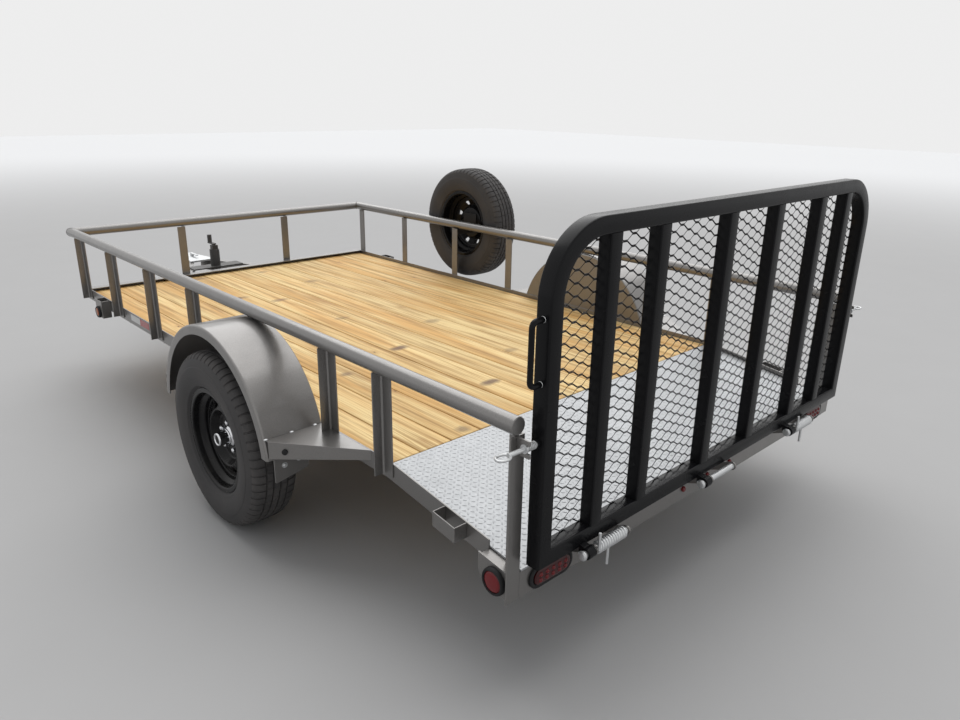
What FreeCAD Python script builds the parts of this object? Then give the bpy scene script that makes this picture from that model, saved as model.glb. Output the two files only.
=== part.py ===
"""Single-axle utility trailer with a pipe top rail, a dovetail and a fold-down ramp gate.

The frame is +Z up, +Y forward (towards the coupler) and +X to the trailer's right.
The ground is z = 0, and the origin is the middle of the trailer's length and width.
All lengths are in millimetres.
"""
import FreeCAD
import Part
import math
import os
import Sketcher

doc = FreeCAD.newDocument("utility_trailer")
sheet = doc.addObject("Spreadsheet::Sheet", "Sizes")

# Driving sizes: name, value or formula, meaning. "back" distances start at the top rail's rear end.
SIZES = (
    ("rail_half", 958, "half width over the side rails"),
    ("rail_top", 492, "height of the side rails' top edge"),
    ("rail_leg", 63, "leg of the side rail angle"),
    ("steel", 5, "thickness of the frame angles"),
    ("sheet_steel", 3, "thickness of the formed sheet pieces"),
    ("plank_thick", 38, "thickness of a deck plank"),
    ("plank_gap", 4, "gap between two planks"),
    ("plank_count", 14, "number of deck planks"),
    ("pipe_radius", 25, "outer radius of the top rail pipe"),
    ("pipe_height", 817, "height of the top rail's centre-line"),
    ("post_leg", 50, "leg of the upright angles"),
    ("post_out", 40, "outward leg of the side upright angles"),
    ("post_lift", 12, "height of the side uprights' feet over the rail's lower edge"),
    ("bed_length", 3560, "length of the bed from the rear end to the front rail's face"),
    ("break_back", 594, "distance of the dovetail's break from the rear end"),
    ("dovetail_drop", 86, "fall of the dovetail from the break to the rear end"),
    ("dovetail_end", 120, "distance of the dovetail rails' end from the rear end"),
    ("track_half", "=rail_half + 151", "half track, to the tyres' middle plane"),
    ("axle_back", 1386, "distance of the axle from the rear end"),
    ("front_run", "=bed_length - axle_back", "distance from the axle to the front rail's face"),
    ("spare_post", "=axle_back + 0.497 * front_run", "distance of the spare wheel's upright from the rear end"),
    ("last_cross", "=axle_back + 0.779 * front_run", "distance of the foremost crossmember from the rear end"),
    ("tyre_radius", 344, "outer radius of the tyres"),
    ("tyre_half", 97, "half of the tyre's section width"),
    ("rim_half", 76, "half width over the rim's flanges"),
    ("rim_radius", 206, "radius of the rim's flange"),
    ("axle_height", "=tyre_radius", "height of the axle"),
    ("spindle_radius", 20, "radius of the axle's spindles"),
    ("bolt_circle", 114.3, "diameter of the circle of wheel nuts"),
    ("fender_radius", 430, "outer radius of the fender"),
    ("fender_height", 361, "height of the fender's centre"),
    ("fender_end", 417, "height of the fender's ends"),
    ("fender_lip", 36, "depth of the fender's outer side under its top"),
    ("fender_width", 228, "width of the fender"),
    ("fender_edge", 22, "radius of the fender's rounded outer edge"),
    ("gusset_deep", 67, "depth of a gusset's folded edge at the fender"),
    ("gusset_shallow", 36, "depth of a gusset's folded edge at the rail"),
    ("gusset_return", 16, "width of the turned-in strip under a gusset's folded edge"),
    ("spring_bend", 3000, "radius of the main leaf's lower face"),
    ("gate_half", "=rail_half - 18", "half width of the ramp gate"),
    ("gate_bottom", 400, "height of the gate's lower edge"),
    ("gate_top", 1321, "height of the gate's upper edge"),
    ("gate_tube", 48, "side of the gate's square tube"),
    ("gate_round", 195, "outer radius of the gate's upper corners"),
    ("gate_gap", 3, "gap between the rear end and the gate"),
    ("hinge_radius", 11, "radius of the gate's hinge pins"),
    ("hinge_drop", 8, "height of the hinge line under the gate's lower edge"),
    ("hinge_out", 24, "distance of the hinge line behind the gate"),
    ("spring_radius", 19, "outer radius of the gate's springs"),
    ("mesh_long", 76.2, "long way of the gate's expanded mesh, from knuckle to knuckle"),
    ("mesh_short", 33.5, "short way of the gate's expanded mesh"),
    ("strand", 4, "width of a strand of the mesh"),
    ("strand_thick", 2, "thickness of a strand of the mesh"),
    ("latch_height", "=pipe_height - 50", "height of the gate's latch pins"),
    ("box_half", "=rail_half + 32", "half width over the rear light box"),
    ("box_bottom", 296, "height of the light box's lower edge"),
    ("skirt_length", 130, "length of the light box's side skirts"),
    ("lamp_height", 336, "height of the rear lamps' centres"),
    ("tongue_reach", 910, "distance of the coupler's tip ahead of the bed"),
    ("tongue_depth", 76, "depth of the tongue channels"),
    ("tongue_root", "=bed_length - last_cross - steel", "distance of the tongue's inner end behind the bed's face"),
    ("tongue_width", 38, "flange width of the tongue channels"),
    ("jack_ahead", 370, "distance of the jack ahead of the bed"),
    ("jack_radius", 33, "outer radius of the jack's tube"),
    ("jack_wall", 4, "wall of the jack's tube"),
    ("jack_play", 0.4, "clearance of the jack's leg in its tube"),
    ("jack_top", 551, "height of the top of the jack's tube"),
    ("jack_lower", 190, "height of the lower end of the jack's tube"),
    ("ball_radius", 25.8, "radius of the coupler's ball socket"),
    ("fit_gap", 2, "gap left between neighbouring pieces that don't touch"),
    ("seat_gap", 0.3, "gap left where a sheet is laid against its neighbours"),
    ("hinge_back", "=gate_gap + gate_tube + hinge_out", "hinge line behind the rear end"),
    ("rear_reach", "=hinge_back + spring_radius + 2", "rearmost point behind the rear end"),
    ("rear", "=-(bed_length + tongue_reach - rear_reach) / 2", "Y of the top rail's rear end"),
    ("front", "=rear + bed_length", "Y of the front rail's face"),
    ("axle_line", "=rear + axle_back", "Y of the axle"),
    ("break_line", "=rear + break_back", "Y of the dovetail's break"),
    ("rail_bottom", "=rail_top - rail_leg", "height of the side rails' lower edge"),
    ("deck_top", "=rail_bottom + steel + plank_thick", "height of the deck"),
    ("hinge_line", "=rear - hinge_back", "Y of the gate's hinge line"),
    ("hinge_height", "=gate_bottom - hinge_drop", "height of the gate's hinge line"),
    ("jack_line", "=front + jack_ahead", "Y of the jack"),
    ("pipe_centre", "=rail_half + pipe_radius", "X of the side top rails' centre-line"),
    ("spare_line", "=rear + spare_post - 5", "Y of the spare wheel's centre"),
)
for row, (name, amount, meaning) in enumerate(SIZES, start=1):
    sheet.set("A%d" % row, name)
    sheet.set("B%d" % row, str(amount))
    sheet.set("C%d" % row, meaning)
    sheet.setAlias("B%d" % row, name)
doc.recompute()

NODES = []


def full(text):
    """Write a formula that names sizes as one that names the sheet's cells."""
    out = ""
    word = ""
    for letter in str(text) + " ":
        if letter.isalnum() or letter == "_" or (letter == "." and word[:1].isdigit()):
            word += letter
            continue
        out += "Sizes." + word if word in NAMES else word
        word = ""
        out += letter
    return out.strip()


NAMES = {name for name, amount, meaning in SIZES}


def amount_of(text):
    """The present number of a formula."""
    found = sheet.evalExpression(full(text))
    return float(getattr(found, "Value", found))


def bind(piece, prop, text):
    piece.setExpression(prop, full(text))


def place(piece, x, y, z):
    bind(piece, "Placement.Base.x", x)
    bind(piece, "Placement.Base.y", y)
    bind(piece, "Placement.Base.z", z)


def box(label, low, size):
    """A box from its low corner and its size, all formulas."""
    piece = doc.addObject("Part::Box", label)
    piece.Label = label
    for prop, text in zip(("Length", "Width", "Height"), size):
        bind(piece, prop, text)
    place(piece, *low)
    return piece


TURNS = {
    "x": FreeCAD.Rotation(FreeCAD.Vector(0, 1, 0), 90),
    "y": FreeCAD.Rotation(FreeCAD.Vector(1, 0, 0), -90),
    "z": FreeCAD.Rotation(),
}


def rod(label, start, axis, radius, length):
    """A cylinder from the centre of its first end along +X, +Y or +Z."""
    piece = doc.addObject("Part::Cylinder", label)
    piece.Label = label
    bind(piece, "Radius", radius)
    bind(piece, "Height", length)
    piece.Placement = FreeCAD.Placement(FreeCAD.Vector(), TURNS[axis])
    place(piece, *start)
    return piece


def fuse(label, pieces):
    piece = doc.addObject("Part::MultiFuse", label)
    piece.Label = label
    piece.Shapes = pieces
    piece.Refine = True
    return piece


def cut(label, base, tool):
    piece = doc.addObject("Part::Cut", label)
    piece.Label = label
    piece.Base = base
    piece.Tool = tool
    return piece


def group(label, pieces):
    """Pieces of one node that don't touch each other."""
    piece = doc.addObject("Part::Compound", label)
    piece.Label = label
    piece.Links = pieces
    return piece


def mirror(label, source):
    """The same piece on the trailer's other side."""
    piece = doc.addObject("Part::Mirroring", label)
    piece.Label = label
    piece.Source = source
    piece.Base = FreeCAD.Vector(0, 0, 0)
    piece.Normal = FreeCAD.Vector(1, 0, 0)
    return piece


def node(piece):
    NODES.append(piece)
    return piece


PLANES = {
    "xy": FreeCAD.Rotation(),
    "xz": FreeCAD.Rotation(FreeCAD.Vector(1, 0, 0), 90),
    "yz": FreeCAD.Rotation(FreeCAD.Vector(1, 1, 1), 120),
}


def draw(sketch, loops):
    """Draw closed loops whose corners are bound to formulas.

    A corner is (x, y), or (x, y, radius, turn) when an arc that turns left (1) or right (-1)
    runs from it to the next corner.
    """
    for corners in loops:
        points = [(amount_of(c[0]), amount_of(c[1])) for c in corners]
        first = sketch.GeometryCount
        for i, corner in enumerate(corners):
            a = FreeCAD.Vector(points[i][0], points[i][1], 0)
            j = (i + 1) % len(points)
            b = FreeCAD.Vector(points[j][0], points[j][1], 0)
            if len(corner) == 2:
                sketch.addGeometry(Part.LineSegment(a, b), False)
                continue
            radius = amount_of(corner[2])
            chord = b - a
            middle = (a + b) * 0.5
            side = FreeCAD.Vector(-chord.y, chord.x, 0)
            side.normalize()
            rise = math.sqrt(max(radius ** 2 - (chord.Length / 2) ** 2, 0))
            centre = middle + side * (rise * corner[3])
            circle = Part.Circle(centre, FreeCAD.Vector(0, 0, 1), radius)
            start = math.atan2(a.y - centre.y, a.x - centre.x)
            end = math.atan2(b.y - centre.y, b.x - centre.x)
            if corner[3] < 0:
                start, end = end, start
            if end < start:
                end += 2 * math.pi
            sketch.addGeometry(Part.ArcOfCircle(circle, start, end), False)
        for i, corner in enumerate(corners):
            j = (i + 1) % len(points)
            leaving = first + i
            arriving = first + (i - 1) % len(points)
            out_end = 2 if len(corner) > 2 and corner[3] < 0 else 1
            before = corners[i - 1]
            in_end = 1 if len(before) > 2 and before[3] < 0 else 2
            sketch.addConstraint(Sketcher.Constraint("Coincident", arriving, in_end, leaving, out_end))
            for kind, text, now in (
                ("DistanceX", corner[0], points[i][0]),
                ("DistanceY", corner[1], points[i][1]),
            ):
                made = sketch.addConstraint(
                    Sketcher.Constraint(kind, -1, 1, leaving, out_end, now)
                )
                bind(sketch, "Constraints[%d]" % made, text)
            if len(corner) > 2:
                made = sketch.addConstraint(
                    Sketcher.Constraint("Radius", leaving, amount_of(corner[2]))
                )
                bind(sketch, "Constraints[%d]" % made, corner[2])
    return sketch


def outline(label, plane, at, loops):
    """A free sketch in the xy, xz or yz plane, moved to the point at."""
    sketch = doc.addObject("Sketcher::SketchObject", label + "_outline")
    sketch.Placement = FreeCAD.Placement(FreeCAD.Vector(), PLANES[plane])
    place(sketch, *at)
    return draw(sketch, loops)


def extrude(label, sketch, length):
    """Push a sketch along +X, +Y or +Z, whichever is across its plane."""
    piece = doc.addObject("Part::Extrusion", label)
    piece.Label = label
    piece.Base = sketch
    piece.DirMode = "Custom"
    across = sketch.Placement.Rotation.multVec(FreeCAD.Vector(0, 0, 1))
    piece.Dir = FreeCAD.Vector(abs(across.x), abs(across.y), abs(across.z))
    piece.Solid = True
    bind(piece, "LengthFwd", length)
    return piece


def body_sketch(body, label, plane, loops):
    """A sketch on one of a body's own planes."""
    sketch = body.newObject("Sketcher::SketchObject", label)
    role = plane.upper() + "_Plane"
    support = [f for f in body.Origin.OriginFeatures if f.Role == role][0]
    sketch.AttachmentSupport = [(support, "")]
    sketch.MapMode = "FlatFace"
    doc.recompute()
    return draw(sketch, loops)


def turned(label, loop, angle=360):
    """A body turned about the X axis, over the top, from a profile in its XY plane."""
    body = doc.addObject("PartDesign::Body", label + "_turning")
    sketch = body_sketch(body, label + "_profile", "xy", [loop])
    feature = body.newObject("PartDesign::Revolution", label + "_revolution")
    feature.Profile = sketch
    feature.ReferenceAxis = ([f for f in body.Origin.OriginFeatures if f.Role == "X_Axis"][0], [""])
    feature.Angle = angle
    body.Tip = feature
    return body


# Side rails: an angle with its foot inwards, kinked down at the dovetail.
def angle_run(label, start, end, fall):
    """Left side rail angle from start forward to end, falling by fall at its start."""
    web = outline(
        label + "_web",
        "yz",
        ("-rail_half", 0, 0),
        [[
            (start, "rail_bottom - (%s)" % fall),
            (end, "rail_bottom"),
            (end, "rail_top"),
            (start, "rail_top - (%s)" % fall),
        ]],
    )
    foot = outline(
        label + "_foot",
        "yz",
        ("-rail_half", 0, 0),
        [[
            (start, "rail_bottom - (%s)" % fall),
            (end, "rail_bottom"),
            (end, "rail_bottom + steel"),
            (start, "rail_bottom + steel - (%s)" % fall),
        ]],
    )
    return [
        extrude(label + "_upright_leg", web, "steel"),
        extrude(label + "_flat_leg", foot, "rail_leg"),
    ]


flat_part = angle_run("left_rail_straight", "break_line", "front - steel - fit_gap", "0")
slope_part = angle_run(
    "left_rail_slope",
    "rear + dovetail_end",
    "break_line",
    "dovetail_drop * (break_back - dovetail_end) / break_back",
)
left_side_rail = node(fuse("left_side_rail", flat_part + slope_part))
node(mirror("right_side_rail", left_side_rail))

# Front rail: a deep channel whose top flange holds the planks' ends.
front_rail = node(fuse("front_rail", [
    box("front_rail_web", ("-rail_half", "front - steel", "rail_bottom"),
        ("2 * rail_half", "steel", "rail_leg")),
    box("front_rail_foot", ("-rail_half + rail_leg + fit_gap", "front - rail_leg", "rail_bottom"),
        ("2 * (rail_half - rail_leg - fit_gap)", "rail_leg", "steel")),
    box("front_rail_lip", ("-rail_half + steel + fit_gap", "front - 50", "rail_top - steel"),
        ("2 * (rail_half - steel - fit_gap)", 50, "steel")),
]))

# Crossmembers: angles under the planks, notched under the side rails' feet.
CROSSMEMBERS = (
    "break_back + 156",
    "axle_back - 256",
    "axle_back + 254",
    "axle_back + 0.338 * front_run",
    "axle_back + 0.558 * front_run",
    "last_cross",
)
crossmembers = []
for i, back in enumerate(CROSSMEMBERS):
    here = "rear + " + back
    crossmembers.append(fuse("crossmember_%d" % (i + 1), [
        box("crossmember_%d_web" % (i + 1), ("-rail_half + rail_leg", here, "rail_bottom - 60"),
            ("2 * (rail_half - rail_leg)", "steel", 60)),
        box("crossmember_%d_foot" % (i + 1), ("-rail_half + rail_leg", here, "rail_bottom"),
            ("2 * (rail_half - rail_leg)", 50, "steel")),
    ]))
node(group("crossmembers", crossmembers))

# Deck planks, side by side across the bed.
planks = []
PLANK_PITCH = "(2 * (rail_half - steel - fit_gap) + plank_gap) / plank_count"
for i in range(int(amount_of("plank_count"))):
    planks.append(box(
        "plank_%d" % (i + 1),
        ("-rail_half + steel + fit_gap + %d * %s" % (i, PLANK_PITCH), "break_line + 3", "rail_bottom + steel"),
        (PLANK_PITCH + " - plank_gap", "bed_length - break_back - 15", "plank_thick"),
    ))
node(group("deck_planks", planks))

# Dovetail: a sloped plate on three ribs.
plate_half = "rail_half - steel"
FALL_AT = "dovetail_drop * (break_back - (%s)) / break_back"
plate = outline("dovetail_plate", "yz", ("-(%s)" % plate_half, 0, 0), [[
    ("rear", "deck_top - dovetail_drop - 6"),
    ("break_line - fit_gap", "deck_top - 6"),
    ("break_line - fit_gap", "deck_top"),
    ("rear", "deck_top - dovetail_drop"),
]])
node(extrude("dovetail_plate", plate, "2 * (%s)" % plate_half))
ribs = []
for i, x in enumerate((-460, 0, 460)):
    rib = outline("dovetail_rib_%d" % (i + 1), "yz", (x, 0, 0), [[
        ("rear + 55", "deck_top - 6 - %s - 50" % (FALL_AT % "55")),
        ("break_line - 20", "deck_top - 6 - %s - 50" % (FALL_AT % "break_back - 20")),
        ("break_line - 20", "deck_top - 6 - %s" % (FALL_AT % "break_back - 20")),
        ("rear + 55", "deck_top - 6 - %s" % (FALL_AT % "55")),
    ]])
    ribs.append(extrude("dovetail_rib_%d" % (i + 1), rib, "steel"))
node(group("dovetail_ribs", ribs))

# Rear light box: a deep cross plate with two side skirts.
box_top = "deck_top - dovetail_drop - 6"


def skirt_top(ahead):
    """Height of a skirt's upper edge at a distance ahead of the rear end."""
    high = "(deck_top - 8 - %s)" % (FALL_AT % "skirt_length")
    return "%s + (%s - (%s)) * (%s - steel) / (skirt_length - steel)" % (box_top, high, box_top, ahead)


rear_plate = box("rear_plate", ("-rail_half", "rear", "box_bottom"),
                 ("2 * rail_half", "steel", box_top + " - box_bottom"))
rear_flange = box("rear_flange", ("-rail_half", "rear", box_top + " - steel"),
                  ("2 * rail_half", 50, "steel"))
rear_box = fuse("rear_box", [rear_plate, rear_flange])
skirts = []
skirt = outline("left_skirt", "yz", ("-box_half", 0, 0), [[
    ("rear + steel", "box_bottom"),
    ("rear + skirt_length - 60", "box_bottom", 60, 1),
    ("rear + skirt_length", "box_bottom + 60"),
    ("rear + skirt_length", skirt_top("skirt_length")),
    ("rear + steel", skirt_top("steel")),
]])
left_skirt = [extrude("left_skirt", skirt, "steel")]
# Covers close the top between the skirt and the bed, beside the rear post and ahead of it.
for i, (start, inner) in enumerate((("steel", "rail_half + steel"), ("post_leg", plate_half))):
    cover = outline("left_cover_%d" % (i + 1), "yz", ("-box_half + steel", 0, 0), [[
        ("rear + %s + seat_gap" % start, skirt_top(start + " + seat_gap") + " - sheet_steel"),
        ("rear + dovetail_end - seat_gap", skirt_top("dovetail_end - seat_gap") + " - sheet_steel"),
        ("rear + dovetail_end - seat_gap", skirt_top("dovetail_end - seat_gap")),
        ("rear + %s + seat_gap" % start, skirt_top(start + " + seat_gap")),
    ]])
    left_skirt.append(extrude("left_cover_%d" % (i + 1), cover, "box_half - steel - seat_gap - (%s)" % inner))
left_skirt = fuse("left_skirt", left_skirt)
node(group("rear_light_box", [rear_box, left_skirt, mirror("right_skirt", left_skirt)]))

# Top rail: three pipes mitred at the front corners.
def pipe(label, start, axis, length):
    return rod(label, start, axis, "pipe_radius", length)


side_pipe = pipe("left_top_pipe", ("-pipe_centre", "rear", "pipe_height"), "y",
                 "bed_length + 2 * pipe_radius")
cross_pipe = pipe("front_top_pipe", ("-pipe_centre - pipe_radius", "front + pipe_radius", "pipe_height"),
                  "x", "2 * (pipe_centre + pipe_radius)")


# Seen from above, the side pipe loses all beyond the mitre line and the cross pipe keeps it.
mitre_sketch = outline("side_mitre", "xy", (0, 0, "pipe_height - 2 * pipe_radius"), [[
    ("-pipe_centre - 3 * pipe_radius", "front + 4 * pipe_radius"),
    ("-pipe_centre + 3 * pipe_radius", "front - 2 * pipe_radius"),
    ("-pipe_centre + 3 * pipe_radius", "front + 4 * pipe_radius"),
]])
left_top_rail = node(cut("left_top_rail", side_pipe, extrude("side_mitre", mitre_sketch, "4 * pipe_radius")))
node(mirror("right_top_rail", left_top_rail))
trim_sketch = outline("front_trim", "xy", (0, 0, "pipe_height - 2 * pipe_radius"), [[
    ("-pipe_centre + pipe_radius", "front"),
    ("pipe_centre - pipe_radius", "front"),
    ("pipe_centre + 2 * pipe_radius", "front + 3 * pipe_radius"),
    ("-pipe_centre - 2 * pipe_radius", "front + 3 * pipe_radius"),
]])
front_trim = extrude("front_trim", trim_sketch, "4 * pipe_radius")
front_top_rail = doc.addObject("Part::MultiCommon", "front_top_rail")
front_top_rail.Label = "front_top_rail"
front_top_rail.Shapes = [cross_pipe, front_trim]
node(front_top_rail)

# Uprights: angles with one leg flat on the frame and the other pointing outwards.
def angle_loop(flat_x, flat_y, out_x, out_y, out_leg="post_leg"):
    """Corners of an angle section with its heel at the origin and legs along the two arrows."""
    a, b = (flat_x, flat_y), (out_x, out_y)
    return [
        ("0", "0"),
        ("post_leg * %d" % a[0], "post_leg * %d" % a[1]),
        ("post_leg * %d + steel * %d" % (a[0], b[0]), "post_leg * %d + steel * %d" % (a[1], b[1])),
        ("steel * %d" % (a[0] + b[0]), "steel * %d" % (a[1] + b[1])),
        ("%s * %d + steel * %d" % (out_leg, b[0], a[0]), "%s * %d + steel * %d" % (out_leg, b[1], a[1])),
        ("%s * %d" % (out_leg, b[0]), "%s * %d" % (out_leg, b[1])),
    ]


POST_TOP = "pipe_height - pipe_radius - fit_gap / 4"


def upright(label, x, y, foot, section):
    sketch = outline(label, "xy", (x, y, foot), [section])
    return extrude(label, sketch, "%s - (%s)" % (POST_TOP, foot))


side_section = angle_loop(0, -1, -1, 0, "post_out")
left_posts = []
SIDE_POSTS = (
    ("break_back + 8", "rail_bottom + post_lift"),
    ("axle_back - 477", "rail_top"),
    ("axle_back + 589", "rail_bottom + post_lift"),
    ("spare_post", "rail_bottom + post_lift"),
    ("axle_back + 0.741 * front_run", "rail_bottom + post_lift"),
    ("bed_length - 48", "rail_bottom + post_lift"),
)
for i, (back, foot) in enumerate(SIDE_POSTS):
    left_posts.append(upright("left_post_%d" % (i + 1), "-rail_half", "rear + steel + " + back,
                              foot, side_section))
left_posts.append(upright("left_post_rear", "-rail_half", "rear", "box_bottom", angle_loop(0, 1, -1, 0)))
left_uprights = node(group("left_uprights", left_posts))
node(mirror("right_uprights", left_uprights))
front_posts = []
front_section = angle_loop(-1, 0, 0, 1)
for i, x in enumerate((-335, 385)):
    front_posts.append(upright("front_post_%d" % (i + 1), x, "front", "rail_bottom", front_section))
node(group("front_uprights", front_posts))

# Fenders: one formed sheet each, turned over the wheel: a half-moon inner plate against the rail, the
# top, a rounded outer edge and a short lip. A small plate hangs from the rear end.
edge = "fender_edge"
lip_end = "fender_radius - fender_lip"
fender_turn = turned("left_fender", [
    ("0", "0"),
    ("0", "fender_radius"),
    ("-fender_width + " + edge, "fender_radius", edge, 1),
    ("-fender_width", "fender_radius - " + edge),
    ("-fender_width", lip_end),
    ("-fender_width + sheet_steel", lip_end),
    ("-fender_width + sheet_steel", "fender_radius - " + edge, edge + " - sheet_steel", -1),
    ("-fender_width + " + edge, "fender_radius - sheet_steel"),
    ("-sheet_steel", "fender_radius - sheet_steel"),
    ("-sheet_steel", "0"),
], 180)
place(fender_turn, "-rail_half", "axle_line", "fender_height")
fender_below = box("left_fender_below", ("-rail_half - fender_width - 5", "axle_line - fender_radius - 5",
                                         "fender_height - 5"),
                   ("fender_width + 10", "2 * fender_radius + 10", "fender_end - fender_height + 5"))
fender_arch = cut("left_fender_arch", fender_turn, fender_below)
flap = outline("left_fender_flap", "xz", (0, "axle_line - fender_radius + 2", "fender_end"), [[
    ("-rail_half - fender_width + 26", -90),
    ("-rail_half - 72", -64),
    ("-rail_half - 72", 20),
    ("-rail_half - fender_width + 26", 20),
]])
left_fender = node(fuse("left_fender", [fender_arch, extrude("left_fender_flap", flap, "steel")]))
node(mirror("right_fender", left_fender))

# The gusset's plate is level with the side rail's top. Its long edge is folded down, deeper at the fender,
# and the fold's lower edge is turned in.
def gusset_loop(near, sign, outer, inner, outer_width, inner_width):
    """A strip of a gusset seen from above: offsets of its long edge, and widths, at the fender and the rail."""
    wide = "-rail_half - fender_width + 8"
    return [
        ("-rail_half", "%s + %d * %d" % (near, sign, inner)),
        (wide, "%s + %d * %d" % (near, sign, outer)),
        (wide, "%s + %d * (%d - (%s))" % (near, sign, outer, outer_width)),
        ("-rail_half", "%s + %d * (%d - (%s))" % (near, sign, inner, inner_width)),
    ]


gussets = []
for side, sign, outer, inner in (("rear", -1, 21, 298), ("front", 1, 21, 125)):
    near = "axle_line + %d * sqrt(fender_radius ^ 2 - (rail_top - fender_height) ^ 2)" % sign
    far = "%s + %d * %d" % (near, sign, inner)
    plate_loop = gusset_loop(near, sign, outer, inner, 0, 0)[:2] + [
        ("-rail_half - fender_width + 8", near + " + %d * 3" % sign),
        ("-rail_half", near + " + %d * 3" % sign),
    ]
    top = outline("left_%s_gusset_top" % side, "xy", (0, 0, "rail_top - sheet_steel"), [plate_loop])
    pieces = [extrude("left_%s_gusset_top" % side, top, "sheet_steel")]
    # Each row: name, width at the rail, drop of its upper side at the fender and at the rail.
    for strip, width, drop_near, drop_far in (
        ("fold", "sheet_steel", "0", "0"),
        ("return", "gusset_return", "gusset_deep - sheet_steel", "gusset_shallow - sheet_steel"),
    ):
        plan = outline("left_%s_gusset_%s" % (side, strip), "xy", (0, 0, "rail_top - gusset_deep"),
                       [gusset_loop(near, sign, outer, inner, "sheet_steel", width)])
        profile = outline("left_%s_gusset_%s_taper" % (side, strip), "yz", ("-rail_half - fender_width", 0, 0), [[
            (near, "rail_top - gusset_deep"),
            (far, "rail_top - gusset_shallow"),
            (far, "rail_top - (%s)" % drop_far),
            (near, "rail_top - (%s)" % drop_near),
        ]])
        taper = doc.addObject("Part::MultiCommon", "left_%s_gusset_%s" % (side, strip))
        taper.Shapes = [
            extrude("left_%s_gusset_%s_run" % (side, strip), plan, "gusset_deep"),
            extrude("left_%s_gusset_%s_taper" % (side, strip), profile, "fender_width"),
        ]
        pieces.append(taper)
    gussets.append(fuse("left_%s_gusset" % side, pieces))
left_gussets = node(group("left_gussets", gussets))
node(mirror("right_gussets", left_gussets))

# Stake pockets: open boxes on the side rails, the rear one tilted with the dovetail.
# Each row: distance from the rear end, top over the rail's top, height, rise over its length.
POCKETS = (
    ("212", -56, 50, 14),
    ("bed_length - 394", 0, 97, 0),
)
pockets = []
for i, (back, top, height, rise) in enumerate(POCKETS):
    sides = []
    for part, inset, width in (("outer", 0, 48), ("inside", 4, 45)):
        shape = outline("pocket_%d_%s" % (i + 1, part), "yz",
                        ("-rail_half - 48 + %d" % inset, "rear + " + back, "rail_top + (%d)" % top), [[
            (inset, -height - inset),
            ("98 - %d" % inset, -height - inset + rise),
            ("98 - %d" % inset, rise + inset),
            (inset, inset),
        ]])
        sides.append(extrude("pocket_%d_%s" % (i + 1, part), shape, width))
    pockets.append(cut("left_pocket_%d" % (i + 1), sides[0], sides[1]))
left_pockets = node(group("left_stake_pockets", pockets))
node(mirror("right_stake_pockets", left_pockets))

# Tongue: two channels that run from under the bed to the coupler.
tongue_back, tongue_tip = "front - tongue_root", "front + tongue_reach - 190"
SPLAY, TIP = 600, 42


def tongue_strip(label, inner_shift, width, z, height):
    """A strip along the left tongue member, inner_shift inboard of its outer face."""
    sketch = outline(label, "xy", (0, 0, z), [[
        ("-%d + %s" % (SPLAY, inner_shift), tongue_back),
        ("-%d + %s" % (TIP, inner_shift), tongue_tip),
        ("-%d + %s - (%s)" % (TIP, inner_shift, width), tongue_tip),
        ("-%d + %s - (%s)" % (SPLAY, inner_shift, width), tongue_back),
    ]])
    return extrude(label, sketch, height)


tongue_level = "rail_bottom - tongue_depth"
left_member = fuse("left_tongue_member", [
    tongue_strip("tongue_web", "steel", "steel", tongue_level, "tongue_depth"),
    tongue_strip("tongue_top_flange", "tongue_width", "tongue_width", tongue_level + " + tongue_depth - steel",
                 "steel"),
    tongue_strip("tongue_low_flange", "tongue_width", "tongue_width", tongue_level, "steel"),
])
right_member = mirror("right_tongue_member", left_member)
node(group("tongue", [left_member, right_member]))

# Coupler: a formed hood over the tongue's tip with a blind ball socket.
coupler_top = "rail_bottom + 16"
hood_sketch = outline("coupler_hood", "xy", (0, 0, "rail_bottom"), [[
    ("-95", "front + tongue_reach - 330"),
    ("95", "front + tongue_reach - 330"),
    ("40", "front + tongue_reach - 45"),
    ("-40", "front + tongue_reach - 45"),
]])
hood = extrude("coupler_hood", hood_sketch, 12)
ball_line = "front + tongue_reach - 42"
head = rod("coupler_head", (0, ball_line, "rail_bottom - 48"), "z", 42, 60)
socket = rod("coupler_socket_space", (0, ball_line, "rail_bottom - 50"), "z", "ball_radius", 52)
clamp = box("coupler_clamp", (-14, "front + tongue_reach - 120", "rail_bottom - 44"), (28, 50, 50))
coupler_solid = fuse("coupler_solid", [hood, head, clamp])
node(cut("coupler", coupler_solid, socket))
latch = fuse("coupler_latch", [
    box("latch_foot", (-9, "front + tongue_reach - 150", "rail_bottom + 12"), (18, 30, 20)),
    box("latch_lever", (-9, "front + tongue_reach - 230", "rail_bottom + 26"), (18, 110, 8)),
])
node(latch)

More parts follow.
